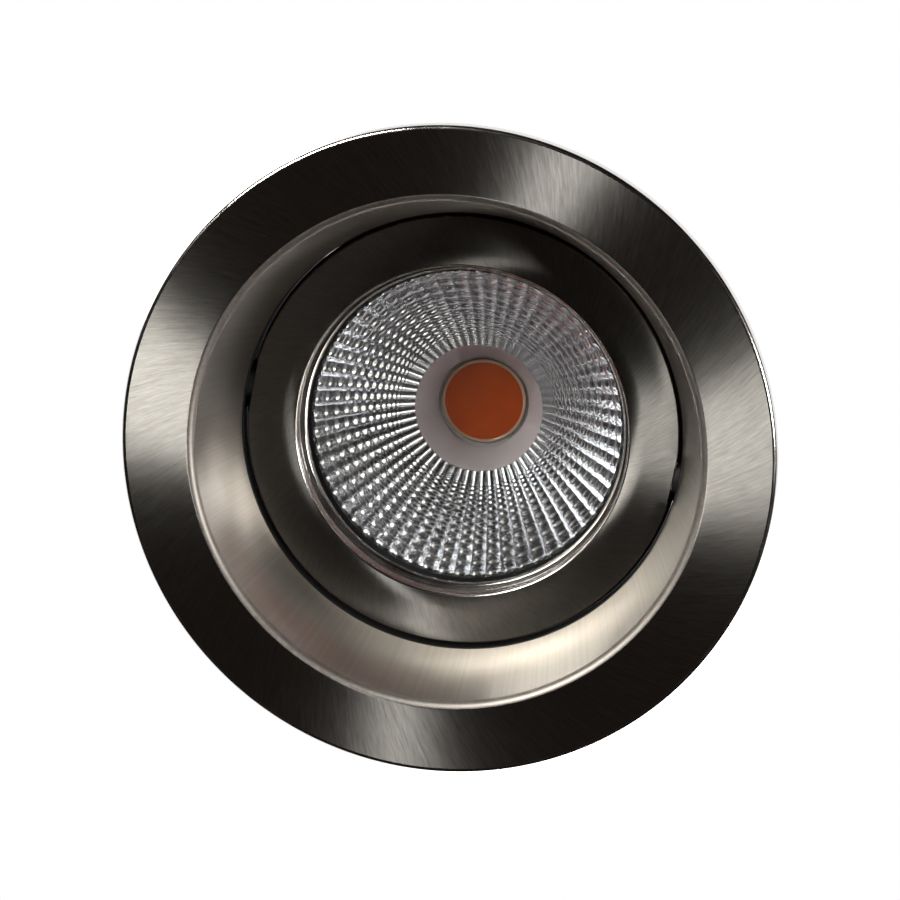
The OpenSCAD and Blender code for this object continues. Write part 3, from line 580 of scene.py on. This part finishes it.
def finishPiece(bm, name, finishes, body, nodes, sharp=50):
    # Turns a bmesh into a shown piece that stands for its CAD nodes
    mesh = bpy.data.meshes.new(name)
    for edge in bm.edges:
        edge.smooth = edge.calc_face_angle(0) < radians(sharp)
    for face in bm.faces:
        face.smooth = True
    bm.to_mesh(mesh)
    bm.free()
    for finish in finishes:
        mesh.materials.append(finish)
    piece = bpy.data.objects.new(name, mesh)
    bpy.context.scene.collection.objects.link(piece)
    even = piece.modifiers.new("evenShade", "WEIGHTED_NORMAL")
    even.keep_sharp = True
    even.weight = 90
    if body:
        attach(piece, body)
    if nodes:
        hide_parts(*nodes)
    return piece


def paintFaces(bm, keys, rule):
    # The rule names the finish for a face's radius, height and normal
    for face in bm.faces:
        middle = face.calc_center_median()
        key = rule(hypot(middle.x, middle.y) / mm, middle.z / mm, face.normal)
        face.material_index = keys.index(key)


# The trim ring: flange, recess, boss and pads in one casting

trimPlan = {
    "rimRound": 0.7, "mouthRadius": 35.7, "mouthRound": 1.2, "recess": 15, "lipRadius": 31.9,
    "wall": 1.8, "rimRadius": 40.5, "rimWall": 1.8, "rimHeight": 2, "spigotHeight": 3,
    "back": -1, "skirtTop": 19.5, "rings": (38.0, 41.5),
    "notchHalf": 3.6, "notchX": 32.2, "notchRise": 1.0, "crease": 0.05,
    "bossRadius": 3.2, "bossX": 36.4, "bossIn": 33.4,
    "padHalf": 7, "padIn": 34, "padY": 36.6, "padLow": 2, "padHigh": 12.5, "steps": 288,
    "finishes": ("brushed", "satin", "turned", "cast", "paintedShadeBlack", "softEdge"),
}


def trimOutline(plan):
    back, face, top = plan["back"], faceHeight / mm, plan["skirtTop"]
    lipZ, lipR = face + plan["recess"], plan["lipRadius"]
    lean = atan2(plan["mouthRadius"] - lipR, plan["recess"])
    arcR = plan["mouthRound"]
    arcCentre = (plan["mouthRadius"] + arcR * (1 - sin(lean)) / cos(lean), face + arcR)
    spigot = plan["mouthRadius"] - (back - face) * tan(lean) + plan["wall"]
    skirt = lipR + plan["wall"]
    rimR, rimTop = plan["rimRadius"], plan["rimHeight"]
    rimIn = rimR - plan["rimWall"]
    outer = flangeRadius / mm
    edgeCentre = (outer - plan["rimRound"], face + plan["rimRound"])
    return (arcPoints(arcCentre, arcR, 270, 180 + degrees(lean), 10)[::-1]
            + [(r, face) for r in plan["rings"]]
            + arcPoints(edgeCentre, plan["rimRound"], -90, 0, 8)
            + [(outer, back - 0.12), (outer - 0.12, back), (rimR, back),
               (rimR, rimTop - 0.3), (rimR - 0.3, rimTop),
               (rimIn + 0.2, rimTop), (rimIn, rimTop - 0.2), (rimIn, back),
               (spigot, back), (spigot, back + plan["spigotHeight"]),
               (skirt, lipZ + plan["wall"]), (skirt, top - 0.15), (skirt - 0.15, top),
               (lipR + 0.15, top), (lipR, top - 0.15), (lipR, lipZ + plan["notchRise"]),
               (lipR, lipZ + plan["notchRise"] - plan["crease"]), (lipR, lipZ + 0.25),
               (lipR + 0.12, lipZ)])


def solidBox(bm, low, high, width=0.2):
    # A block between two corners in millimetres, its edges eased
    made = bmesh.ops.create_cube(bm, size=1)["verts"]
    size = [b - a for a, b in zip(low, high)]
    middle = [(a + b) / 2 for a, b in zip(low, high)]
    bmesh.ops.scale(bm, vec=[s * mm for s in size], verts=made)
    bmesh.ops.translate(bm, vec=[m * mm for m in middle], verts=made)
    easeEdges(bm, list({e for v in made for e in v.link_edges}), width * mm)


def rod(bm, radius, start, end, width=0.15, sides=48):
    # A round bar between two points in millimetres, its ends eased
    start, end = Vector(start) * mm, Vector(end) * mm
    facing = (end - start).to_track_quat("Z", "Y").to_matrix().to_4x4()
    place = Matrix.Translation((start + end) / 2) @ facing
    made = bmesh.ops.create_cone(bm, cap_ends=True, segments=sides, radius1=radius * mm,
                                 radius2=radius * mm, depth=(end - start).length,
                                 matrix=place)["verts"]
    ends = [e for e in {e for v in made for e in v.link_edges}
            if degrees(e.calc_face_angle(0)) > 60]
    easeEdges(bm, ends, width * mm)


def mirroredBox(bm, low, high, signs, width):
    # A block moved to another quarter by a sign for each axis
    corners = [sorted((sign * a, sign * b)) for sign, a, b in zip(signs, low, high)]
    solidBox(bm, [a for a, b in corners], [b for a, b in corners], width)


def cutAcross(bm, faces, y):
    edges = list({e for item in faces for e in item.edges})
    verts = list({v for item in faces for v in item.verts})
    bmesh.ops.bisect_plane(bm, geom=faces + edges + verts, dist=1e-7,
                           plane_co=(0, y * mm, 0), plane_no=(0, 1, 0))


def cutNotchEdges(bm, plan, lipZ):
    # Two close cuts at each end of a pivot notch, so that its end wall stands straight
    ends = [end * plan["notchHalf"] + cut for end in (-1, 1) for cut in (-0.02, 0.02)]
    for side in (1, -1):
        for y in ends:
            near = []
            for item in bm.faces:
                middle = item.calc_center_median() / mm
                low = min(v.co.z for v in item.verts) / mm
                if (side * middle.x > 0 and abs(middle.y) < 6 and low > lipZ + 0.9
                        and hypot(middle.x, middle.y) < plan["lipRadius"] + 0.1):
                    near.append(item)
            cutAcross(bm, near, y)


def makeTrim(plan, finish):
    bm = spun(profile(trimOutline(plan)), plan["steps"])
    face, top, keys = faceHeight / mm, plan["skirtTop"], plan["finishes"]
    lipZ = face + plan["recess"]
    cutNotchEdges(bm, plan, lipZ)
    notchLow, notchHigh = lipZ + plan["notchRise"] - plan["crease"] / 2, top - 0.1
    for vert in bm.verts:
        x, y, z = (c / mm for c in vert.co)
        if (abs(y) < plan["notchHalf"] and hypot(x, y) < plan["notchX"]
                and notchLow < z < notchHigh):
            vert.co.x = (plan["notchX"] if x > 0 else -plan["notchX"]) * mm

    def rule(r, z, normal):
        inMouth = r < plan["mouthRadius"] + plan["mouthRound"]
        if r > flangeRadius / mm - plan["rimRound"] and z < plan["back"] - 0.2:
            return "turned"
        if z < face + 0.01:
            return "brushed"
        if inMouth and z < face + plan["mouthRound"] and normal.z < -0.3:
            return "softEdge"
        if inMouth and z < lipZ and normal.z < -0.02:
            return "satin"
        # The lip's bore beside the running gap is near-black: painted shade of the gap
        return "paintedShadeBlack" if r < plan["lipRadius"] + 0.5 and z < notchHigh else "cast"

    paintFaces(bm, keys, rule)
    behind = len(bm.faces)
    for side in (1, -1):
        rod(bm, plan["bossRadius"], (side * plan["bossIn"], 0, pivotHeight),
            (side * plan["bossX"], 0, pivotHeight), 0.25)
        mirroredBox(bm, (-plan["padHalf"], plan["padIn"], plan["padLow"]),
                    (plan["padHalf"], plan["padY"], plan["padHigh"]), (1, side, 1), 0.3)
    bm.faces.ensure_lookup_table()
    # The pads' inner faces follow the taper of the wall that they stand on
    taper = (plan["mouthRadius"] - plan["lipRadius"]) / plan["recess"]
    for vert in {v for item in bm.faces[behind:] for v in item.verts}:
        x, y, z = (c / mm for c in vert.co)
        if abs(x) < plan["padHalf"] + 1 and abs(y) < plan["padIn"] + 0.5:
            wall = plan["mouthRadius"] - (z - face) * taper + 0.6 * plan["wall"]
            vert.co.y = wall * mm * (1 if y > 0 else -1)
    for item in bm.faces[behind:]:
        item.material_index = keys.index("cast")
    return finishPiece(bm, "trimRing", [finish[key] for key in keys],
                       "housing", ["trim_ring"])


# The tilting ring and the bezel in its light opening

gimbalPlan = {
    "edge": 0.2, "thick": 2.6, "boreRadius": 24, "boreChamfer": 0.45, "well": 3,
    "collarRadius": 25, "collarOuter": 26.8, "collarTop": 21.64, "rings": (26.5, 29.5),
    "notchHalf": 3.6, "flatX": 31.0, "bossRadius": 2.6, "bossIn": 25.9,
    "tieRadius": 27.4, "tieBoss": 2.1, "tieAngles": (90, 210, 330), "steps": 288,
    "finishes": ("brushedInShade", "satin", "turned", "cast", "paintedShadeBlack", "paintedReflectionEdge"),
}


def gimbalOutline(plan, step):
    face, outer, edge = ringHeight / mm, ringRadius / mm, plan["edge"]
    back, bore, chamfer = face + plan["thick"], plan["boreRadius"], plan["boreChamfer"]
    collarIn, collarOut, top = plan["collarRadius"], plan["collarOuter"], plan["collarTop"]
    return ([(bore + chamfer, face)] + [(r, face) for r in plan["rings"]]
            + [(outer - edge, face), (outer - 0.08, face + edge - 0.08), (outer, face + edge),
               (outer, back - 0.1), (outer - 0.1, back), (collarOut, back), (collarOut, top - 0.1),
               (collarOut - 0.1, top), (collarIn + 0.1, top), (collarIn, top - 0.1),
               (collarIn, step), (bore, step), (bore, face + chamfer)])


def makeGimbal(plan, finish):
    face, outer, keys = ringHeight / mm, ringRadius / mm, plan["finishes"]
    step = face + plan["well"]
    boreEdge = plan["boreRadius"] + plan["boreChamfer"]
    bm = spun(profile(gimbalOutline(plan, step)), plan["steps"])
    for vert in bm.verts:
        x, y, z = (c / mm for c in vert.co)
        if abs(y) < plan["notchHalf"] and abs(x) > plan["flatX"]:
            vert.co.x = (plan["flatX"] if x > 0 else -plan["flatX"]) * mm

    def rule(r, z, normal):
        if z < face + 0.01 and r > boreEdge:
            return "brushedInShade"
        if r < boreEdge and z <= step:
            return "turned"
        # The outer wall is near-black, painted shade of the running gap; the front chamfer is
        # brown, a painted reflection
        if r > outer - 0.5:
            return "paintedReflectionEdge" if z < face + plan["edge"] + 0.01 else "paintedShadeBlack"
        return "cast"

    paintFaces(bm, keys, rule)
    behind = len(bm.faces)
    for side in (1, -1):
        rod(bm, plan["bossRadius"], (side * plan["bossIn"], 0, pivotHeight),
            (side * plan["flatX"], 0, pivotHeight))
    for turn in plan["tieAngles"]:
        x, y = plan["tieRadius"] * cos(radians(turn)), plan["tieRadius"] * sin(radians(turn))
        rod(bm, plan["tieBoss"], (x, y, face + 1.3), (x, y, plan["collarTop"] - 0.2))
    bm.faces.ensure_lookup_table()
    for item in bm.faces[behind:]:
        item.material_index = keys.index("cast")
    return finishPiece(bm, "gimbalRing", [finish[key] for key in keys],
                       "lamp", ["gimbal_ring"])


gapShadePlan = {
    "gap": 0.06, "bore": 31.9, "rooted": 0.55, "low": 14.9, "high": 15.5, "ease": 0.1,
    "endY": 2.9,               # where the strip stops beside a friction washer
    "plugs": (((30.9, 2.2, 15.4), (31.1, 3.0, 16.4)),
              ((30.9, 2.84, 15.4), (32.12, 3.5, 16.3))),
    "steps": 288,
}


def makeGapShade(plan, finish):
    # A black strip round the ring's edge that fills the running gap: a dark piece put where the gap
    # shows only shade
    inner, outer = ringRadius / mm - plan["rooted"], plan["bore"] - plan["gap"]
    low, high, ease = plan["low"], plan["high"], plan["ease"]
    bm = spun(profile([(inner, low), (outer - ease, low), (outer, low + ease),
                       (outer, high - ease), (outer - ease, high), (inner, high)]), plan["steps"])
    for side in (1, -1):
        for y in (-plan["endY"], plan["endY"]):
            cutAcross(bm, [f for f in bm.faces if f.calc_center_median().x * side > 0], y)
    away = [f for f in bm.faces if abs(f.calc_center_median().y) < plan["endY"] * mm]
    bmesh.ops.delete(bm, geom=away, context="FACES")
    bmesh.ops.holes_fill(bm, edges=[e for e in bm.edges if e.is_boundary], sides=12)
    bmesh.ops.recalc_face_normals(bm, faces=bm.faces[:])
    # Small dark plugs in the pivot notches, between the washer's edge and the notch's end: painted
    # shade there too
    for corners in plan["plugs"]:
        for side in (1, -1):
            for end in (1, -1):
                mirroredBox(bm, *corners, (side, end, 1), 0.03)
    return finishPiece(bm, "gapShadeStrip", [finish["gapShadeFill"]], "lamp", None)


bezelPlan = {"width": 1.5, "chamfer": 0.35, "rounding": 0.08, "steps": 240}


def makeBezel(plan, finish):
    outer, low, high = insertRadius / mm, bezelLow.z / mm, bezelHigh.z / mm
    inner, chamfer = outer - plan["width"], plan["chamfer"]
    outline = profile([(inner + chamfer, low), (outer, low), (outer, high), (inner, high),
                       (inner, low + chamfer)])
    rounded(outline, plan["rounding"] * mm)
    return finishPiece(spun(outline, plan["steps"]), "bezelRing", [finish["turned"]],
                       "lamp", ["bezel_ring"])


# The optics, from the glass inwards

reflectorPlan = {
    "rimGap": 1.7, "baseRadius": 9.65, "skin": 0.54, "bulge": 0.8, "columns": 60,
    "rows": (0.0, 0.014, 0.12, 0.225, 0.33, 0.42, 0.50, 0.575, 0.64, 0.70, 0.75, 0.795,
             0.835, 0.87, 0.89, 0.91, 0.93, 0.948, 0.966, 0.983, 1.0),
    "crown": 0.20,             # a facet's crown across, as a share of its width
    "swell": 0.115,            # its crown along the wall, as a share of its length
    "cells": 4,                # faces along each side of a facet
    "scallop": 0.024,          # how far the black rim reaches between two facets
}


def reflectorPoint(plan, t):
    # The wall's point at share t from rim to base, as (radius, height) in millimetres
    rim = (insertRadius / mm - plan["rimGap"], reflectorLow.z / mm)
    base = (plan["baseRadius"], reflectorHigh.z / mm)
    run, rise = base[0] - rim[0], base[1] - rim[1]
    length = hypot(run, rise)
    out = 4 * plan["bulge"] * t * (1 - t)
    return rim[0] + t * run + out * rise / length, rim[1] + t * rise - out * run / length


def makeReflector(plan, finish):
    bm = bmesh.new()
    shares = []
    for top, low in zip(plan["rows"], plan["rows"][1:]):
        shares += [top + (low - top) * k / plan["cells"] for k in range(plan["cells"])]
    shares.append(1.0)
    points = [reflectorPoint(plan, t) for t in shares]
    verts = [bm.verts.new((r * mm, 0, z * mm)) for r, z in points]
    for a, b in zip(verts, verts[1:]):
        bm.edges.new((a, b))
    spun(bm, plan["columns"] * plan["cells"])
    level = {round(z, 3): t for t, (r, z) in zip(shares, points)}
    rimR, baseR = points[0][0], plan["baseRadius"]
    depth = reflectorHigh.z / mm - reflectorLow.z / mm
    length = hypot(rimR - baseR, depth)
    across = (rimR - baseR) / length
    shareOf = {vert: level[round(vert.co.z / mm, 3)] for vert in bm.verts}
    # The rim row and the flat ring behind it take the near-black: painted shade under the bezel's
    # edge
    for face in bm.faces:
        inRim = max(shareOf[v] for v in face.verts) < plan["rows"][1] + 0.001
        face.material_index = 1 if inRim else 0
    # Each facet swells into a low cushion, and the black rim reaches in between two columns
    for vert in bm.verts:
        t = shareOf[vert]
        column = degrees(atan2(vert.co.y, vert.co.x)) / 360 * plan["columns"]
        bow = 1 - (2 * (column - column // 1) - 1) ** 2
        row = max(i for i, top in enumerate(plan["rows"]) if t >= top - 1e-6)
        if row == 0 or row == len(plan["rows"]) - 1:
            continue
        start, end = plan["rows"][row:row + 2]
        v = (t - start) / (end - start)
        if row == 1:
            t += plan["scallop"] * (1 - bow) * (1 - v)
        r, z = reflectorPoint(plan, t)
        proud = plan["swell"] * ((end - start) * length) * (1 - (2 * v - 1) ** 2)
        proud += plan["crown"] * 2 * pi * r / plan["columns"] * bow
        outward = Vector((vert.co.x, vert.co.y, 0)).normalized()
        raised = Vector((0, 0, (z - proud * across) * mm))
        vert.co = (r - proud * (1 - across)) * mm * outward + raised
    rim = [e for e in bm.edges
           if e.is_boundary and abs(e.verts[0].co.z - reflectorLow.z) < 0.2 * mm]
    grown = bmesh.ops.extrude_edge_only(bm, edges=rim)["geom"]
    for vert in (g for g in grown if isinstance(g, bmesh.types.BMVert)):
        flat = Vector((vert.co.x, vert.co.y, 0)).normalized() * insertRadius
        vert.co = Vector((flat.x, flat.y, reflectorLow.z))
    for face in (g for g in grown if isinstance(g, bmesh.types.BMFace)):
        face.material_index = 1
    bmesh.ops.solidify(bm, geom=bm.faces[:], thickness=-plan["skin"] * mm)
    return finishPiece(bm, "facetedReflector", [finish["mirror"], finish["paintedShadeBlack"]],
                       "lamp", ["reflector"], 30)


funnelPlan = {
    "mouth": 9.65, "throat": 6.9, "depth": 5.3, "lip": 0.3, "hub": 12.5, "hubHeight": 4,
    "outer": 17, "rounding": 0.22, "steps": 192,
}


def makeFunnel(plan, finish):
    low, high = holderLow.z / mm, holderHigh.z / mm
    throat, throatZ = plan["throat"], low + plan["depth"] - plan["lip"]
    hubZ = low + plan["hubHeight"]
    outline = profile([(plan["mouth"], low), (plan["hub"], low), (plan["hub"], hubZ),
                       (plan["outer"], hubZ), (plan["outer"], high), (throat + 1, high),
                       (throat, throatZ + plan["lip"]), (throat, throatZ)])
    rounded(outline, plan["rounding"] * mm)
    return finishPiece(spun(outline, plan["steps"]), "whiteFunnel", [finish["white"]],
                       "lamp", ["source_holder"])


damPlan = {"inside": 0.15, "outside": 0.2, "rounding": 0.1, "steps": 160}


def makeDam(plan, finish):
    outer, inner = damHigh.x / mm, glowHigh.x / mm
    low, high, inside = damLow.z / mm, damHigh.z / mm, plan["inside"]
    outline = profile([(inner, low + inside), (inner + inside, low), (outer - inside, low),
                       (outer, low + plan["outside"]), (outer, high), (inner, high)])
    rounded(outline, plan["rounding"] * mm)
    return finishPiece(spun(outline, plan["steps"]), "sourceDam", [finish["dam"]],
                       "lamp", ["source_dam"])


glowPlan = {
    # The face sinks a little towards its edge: (share of the radius, depth in millimetres)
    "hollow": ((0.6, 0), (0.9, 0.01), (0.97, 0.03), (1, 0.06)),
    "middle": 0.001, "steps": 128,
}


def makeGlow(plan, finish):
    radius, low, high = glowHigh.x / mm, glowLow.z / mm, glowHigh.z / mm
    points = ([(plan["middle"], low)] + [(radius * r, low + z) for r, z in plan["hollow"]]
              + [(radius, high), (plan["middle"], high)])
    return finishPiece(spun(profile(points), plan["steps"]), "amberDisc", [finish["glow"]],
                       "lamp", ["phosphor_disc"])


# Pieces that keep their CAD shape, with eased edges


def easedCopy(node, name, finishes, body, width):
    # A copy of a CAD node, merged, with its sharp edges eased
    bm = bmesh.new()
    bm.from_mesh(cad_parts[node].data)
    bmesh.ops.remove_doubles(bm, verts=bm.verts[:], dist=1e-6)
    bmesh.ops.dissolve_limit(bm, angle_limit=radians(0.6), use_dissolve_boundaries=False,
                             verts=bm.verts[:], edges=bm.edges[:])
    bevelSharp(bm, width * mm)
    for face in bm.faces:
        face.material_index = 0
    return finishPiece(bm, name, finishes, body, [node], 40)


def dressNode(node, finish):
    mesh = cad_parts[node].data
    mesh.materials.clear()
    mesh.materials.append(finish)


# Torsion springs of the two clips

springPlan = {
    "axleY": 37.4, "axleZ": 24.0, "wire": 0.9, "coil": 2.35, "pitch": 1.4, "curls": 4,
    "armRest": 75, "spread": 3, "perCurl": 32,
    "clear": 0.08,             # between the wire and the sheet that it lies against
    "plateY": 0.8, "footZ": 17.5, "footRun": 2.5,
    "armUp": 0.5, "armReach": (7.2, 9.7, 10.6),
}


def springRoute(plan):
    # The wire's centre line: the foot behind the plate, the coil, and the end along the arm
    end = 90 - plan["armRest"] + plan["spread"]
    turn = 180 - end + 360 * plan["curls"]
    length = plan["pitch"] * turn / 360
    rest, wire = radians(plan["armRest"]), plan["wire"]
    along, up = Vector((0, cos(rest), -sin(rest))), Vector((0, sin(rest), cos(rest)))
    tailY = -plan["plateY"] - wire / 2 - plan["clear"]
    tailL = plan["axleZ"] - plan["footZ"] + plan["footRun"]
    route = [Vector((-length / 2, y, z)) for y, z in (
        (tailY, -tailL - wire), (tailY, -tailL), (-plan["coil"], -2 * wire))]
    count = int(turn / 360 * plan["perCurl"])
    for i in range(count + 1):
        a = radians(180 - turn * i / count)
        x = -length / 2 + length * i / count
        route.append(Vector((x, plan["coil"] * cos(a), plan["coil"] * sin(a))))
    tailUp = plan["armUp"] + wire / 2 + plan["clear"]
    for far, high in [(1.5 * wire, plan["coil"])] + [(far, tailUp) for far in plan["armReach"]]:
        route.append(Vector((length / 2, 0, 0)) + far * along + high * up)
    return route, length


def makeSpring(plan, side, name, finish, node):
    route, length = springRoute(plan)
    facing = Matrix.Identity(4) if side > 0 else Matrix.Rotation(pi, 4, "Z")
    place = facing @ Matrix.Translation(Vector((0, plan["axleY"], plan["axleZ"])) * mm)
    data = bpy.data.curves.new(name, "CURVE")
    data.dimensions = "3D"
    line = data.splines.new("POLY")
    line.points.add(len(route) - 1)
    for point, where in zip(line.points, route):
        point.co = (*(place @ (where * mm)), 1)
    data.bevel_depth = plan["wire"] / 2 * mm
    data.bevel_resolution = 3
    data.use_fill_caps = True
    tube = bpy.data.objects.new(name + "Line", data)
    bpy.context.scene.collection.objects.link(tube)
    bpy.context.view_layer.update()
    shown = tube.evaluated_get(bpy.context.evaluated_depsgraph_get())
    mesh = bpy.data.meshes.new_from_object(shown)
    bpy.data.objects.remove(tube)
    bm = bmesh.new()
    bm.from_mesh(mesh)
    bmesh.ops.remove_doubles(bm, verts=bm.verts[:], dist=1e-6)
    piece = finishPiece(bm, name, [finish["spring"]], None, None, 60)
    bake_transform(piece)
    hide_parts(node)
    return piece


# The heat sink in one casting

sinkPlan = {
    "barrelZ": 20.04, "barrelWall": 1.5, "seatZ": 38.52, "plateZ": 43.02, "finZ": 63.02,
    "fins": 20, "finThick": 1.3, "finFront": 24.7, "finRear": 22.5,
    "finRoot": 9, "finSunk": 0.5,  # how far the fins reach into the core and the front plate
    "core": 10, "rearPlate": 16.5, "rearThick": 2,
    "tieZ": 21.66, "tieThick": 2.2, "tieRadius": 29.5, "rounding": 0.2, "middle": 0.01,
    "steps": 192,
}


def makeSink(plan, finish):
    outer, inner = plan["finFront"], plan["finFront"] - plan["barrelWall"]
    tieR, tieZ, tieTop = plan["tieRadius"], plan["tieZ"], plan["tieZ"] + plan["tieThick"]
    core, plateZ, rear, finZ = (plan[key] for key in ("core", "plateZ", "rearPlate", "finZ"))
    rearZ = finZ - plan["rearThick"]
    outline = profile([(inner, plan["barrelZ"]), (outer, plan["barrelZ"]), (outer, tieZ),
                       (tieR, tieZ), (tieR, tieTop), (outer, tieTop), (outer, plateZ),
                       (core, plateZ), (core, rearZ), (rear, rearZ), (rear, finZ),
                       (plan["middle"], finZ), (plan["middle"], plan["seatZ"]),
                       (inner, plan["seatZ"])])
    rounded(outline, plan["rounding"] * mm)
    bm = spun(outline, plan["steps"])
    for i in range(plan["fins"]):
        fin = bmesh.new()
        half = plan["finThick"] / 2
        solidBox(fin, (plan["finRoot"], -half, plateZ - plan["finSunk"]), (outer, half, finZ), 0.22)
        for vert in fin.verts:
            x, z = vert.co.x / mm, vert.co.z / mm
            if x > rear:
                # The fins' outer edges taper towards the rear
                share = (z - plateZ) / (finZ - plateZ)
                vert.co.x -= max(0, share) * (outer - plan["finRear"]) * mm
        turn = Matrix.Rotation(2 * pi * i / plan["fins"], 3, "Z")
        bmesh.ops.rotate(fin, verts=fin.verts[:], cent=(0, 0, 0), matrix=turn)
        mesh = bpy.data.meshes.new("fin")
        fin.to_mesh(mesh)
        fin.free()
        bm.from_mesh(mesh)
        bpy.data.meshes.remove(mesh)
    return finishPiece(bm, "heatSink", [finish["black"]], "lamp", ["heat_sink"])


# Everything is put together here

print("stage")
makeCamera(cameraPlan)
makeWorld(worldPlan)
makeLamps(lampPlan, -1)
makeLamps(topLampPlan, 1)
makeFloor(floorPlan)
makeDrape(drapePlan)
bpy.context.scene.view_settings.view_transform = "Standard"

print("finishes")
finish = makeFinishes()

print("trim, ring and optics")
makeTrim(trimPlan, finish)
makeGimbal(gimbalPlan, finish)
makeGapShade(gapShadePlan, finish)
makeBezel(bezelPlan, finish)
makeReflector(reflectorPlan, finish)
makeFunnel(funnelPlan, finish)
makeDam(damPlan, finish)
makeGlow(glowPlan, finish)

print("rear")
makeSink(sinkPlan, finish)
for node, name, key, slot, width in (
        ("rear_cap", "wiringCap", "plastic", "black_plastic", 0.2),
        ("gland_body", "glandBody", "plastic", "black_plastic", 0.15),
        ("gland_nut", "glandNut", "plastic", "black_plastic", 0.15),
        ("cap_screws", "capScrews", "zinc", "zinc_steel", 0.1),
        ("heat_sink_screws", "sinkScrews", "zinc", "zinc_steel", 0.1)):
    easedCopy(node, name, [finish[key]], "lamp", width)

print("clips")
for node, name, key, slot, body, width in (
        ("clip_bracket_right", "bracketRight", "sheet", "zinc_sheet", "housing", 0.15),
        ("clip_bracket_left", "bracketLeft", "sheet", "zinc_sheet", "housing", 0.15),
        ("clip_arm_right", "armRight", "sheet", "zinc_sheet", "clip_right", 0.15),
        ("clip_arm_left", "armLeft", "sheet", "zinc_sheet", "clip_left", 0.15),
        ("clip_pad_right", "padRight", "rubber", "black_rubber", "clip_right", 0.35),
        ("clip_pad_left", "padLeft", "rubber", "black_rubber", "clip_left", 0.35),
        ("clip_axle_right", "axleRight", "zinc", "zinc_steel", "housing", 0.2),
        ("clip_axle_left", "axleLeft", "zinc", "zinc_steel", "housing", 0.2),
        ("bracket_screws", "bracketScrews", "zinc", "zinc_steel", "housing", 0.12),
        ("pivot_screws", "pivotScrews", "zinc", "zinc_steel", "housing", 0.12)):
    easedCopy(node, name, [finish[key]], body, width)
makeSpring(springPlan, 1, "springRight", finish, "clip_spring_right")
makeSpring(springPlan, -1, "springLeft", finish, "clip_spring_left")

print("carried over")
for node, key in (
        ("soffit_gasket", "rubber"), ("pivot_washers", "plastic"), ("glass_gasket", "rubber"),
        ("cover_glass", "glass"), ("holder_screws", "zinc"), ("source_board", "board"),
        ("thermal_pad", "pad"), ("lead_red", "redWire"), ("lead_black", "blackWire"),
        ("lead_grommets", "rubber"), ("cap_gasket", "rubber"), ("terminal_block", "white"),
        ("terminal_screws", "brass"), ("gland_locknut", "plastic"), ("gland_seal", "rubber")):
    dressNode(node, finish[key])

print("done")
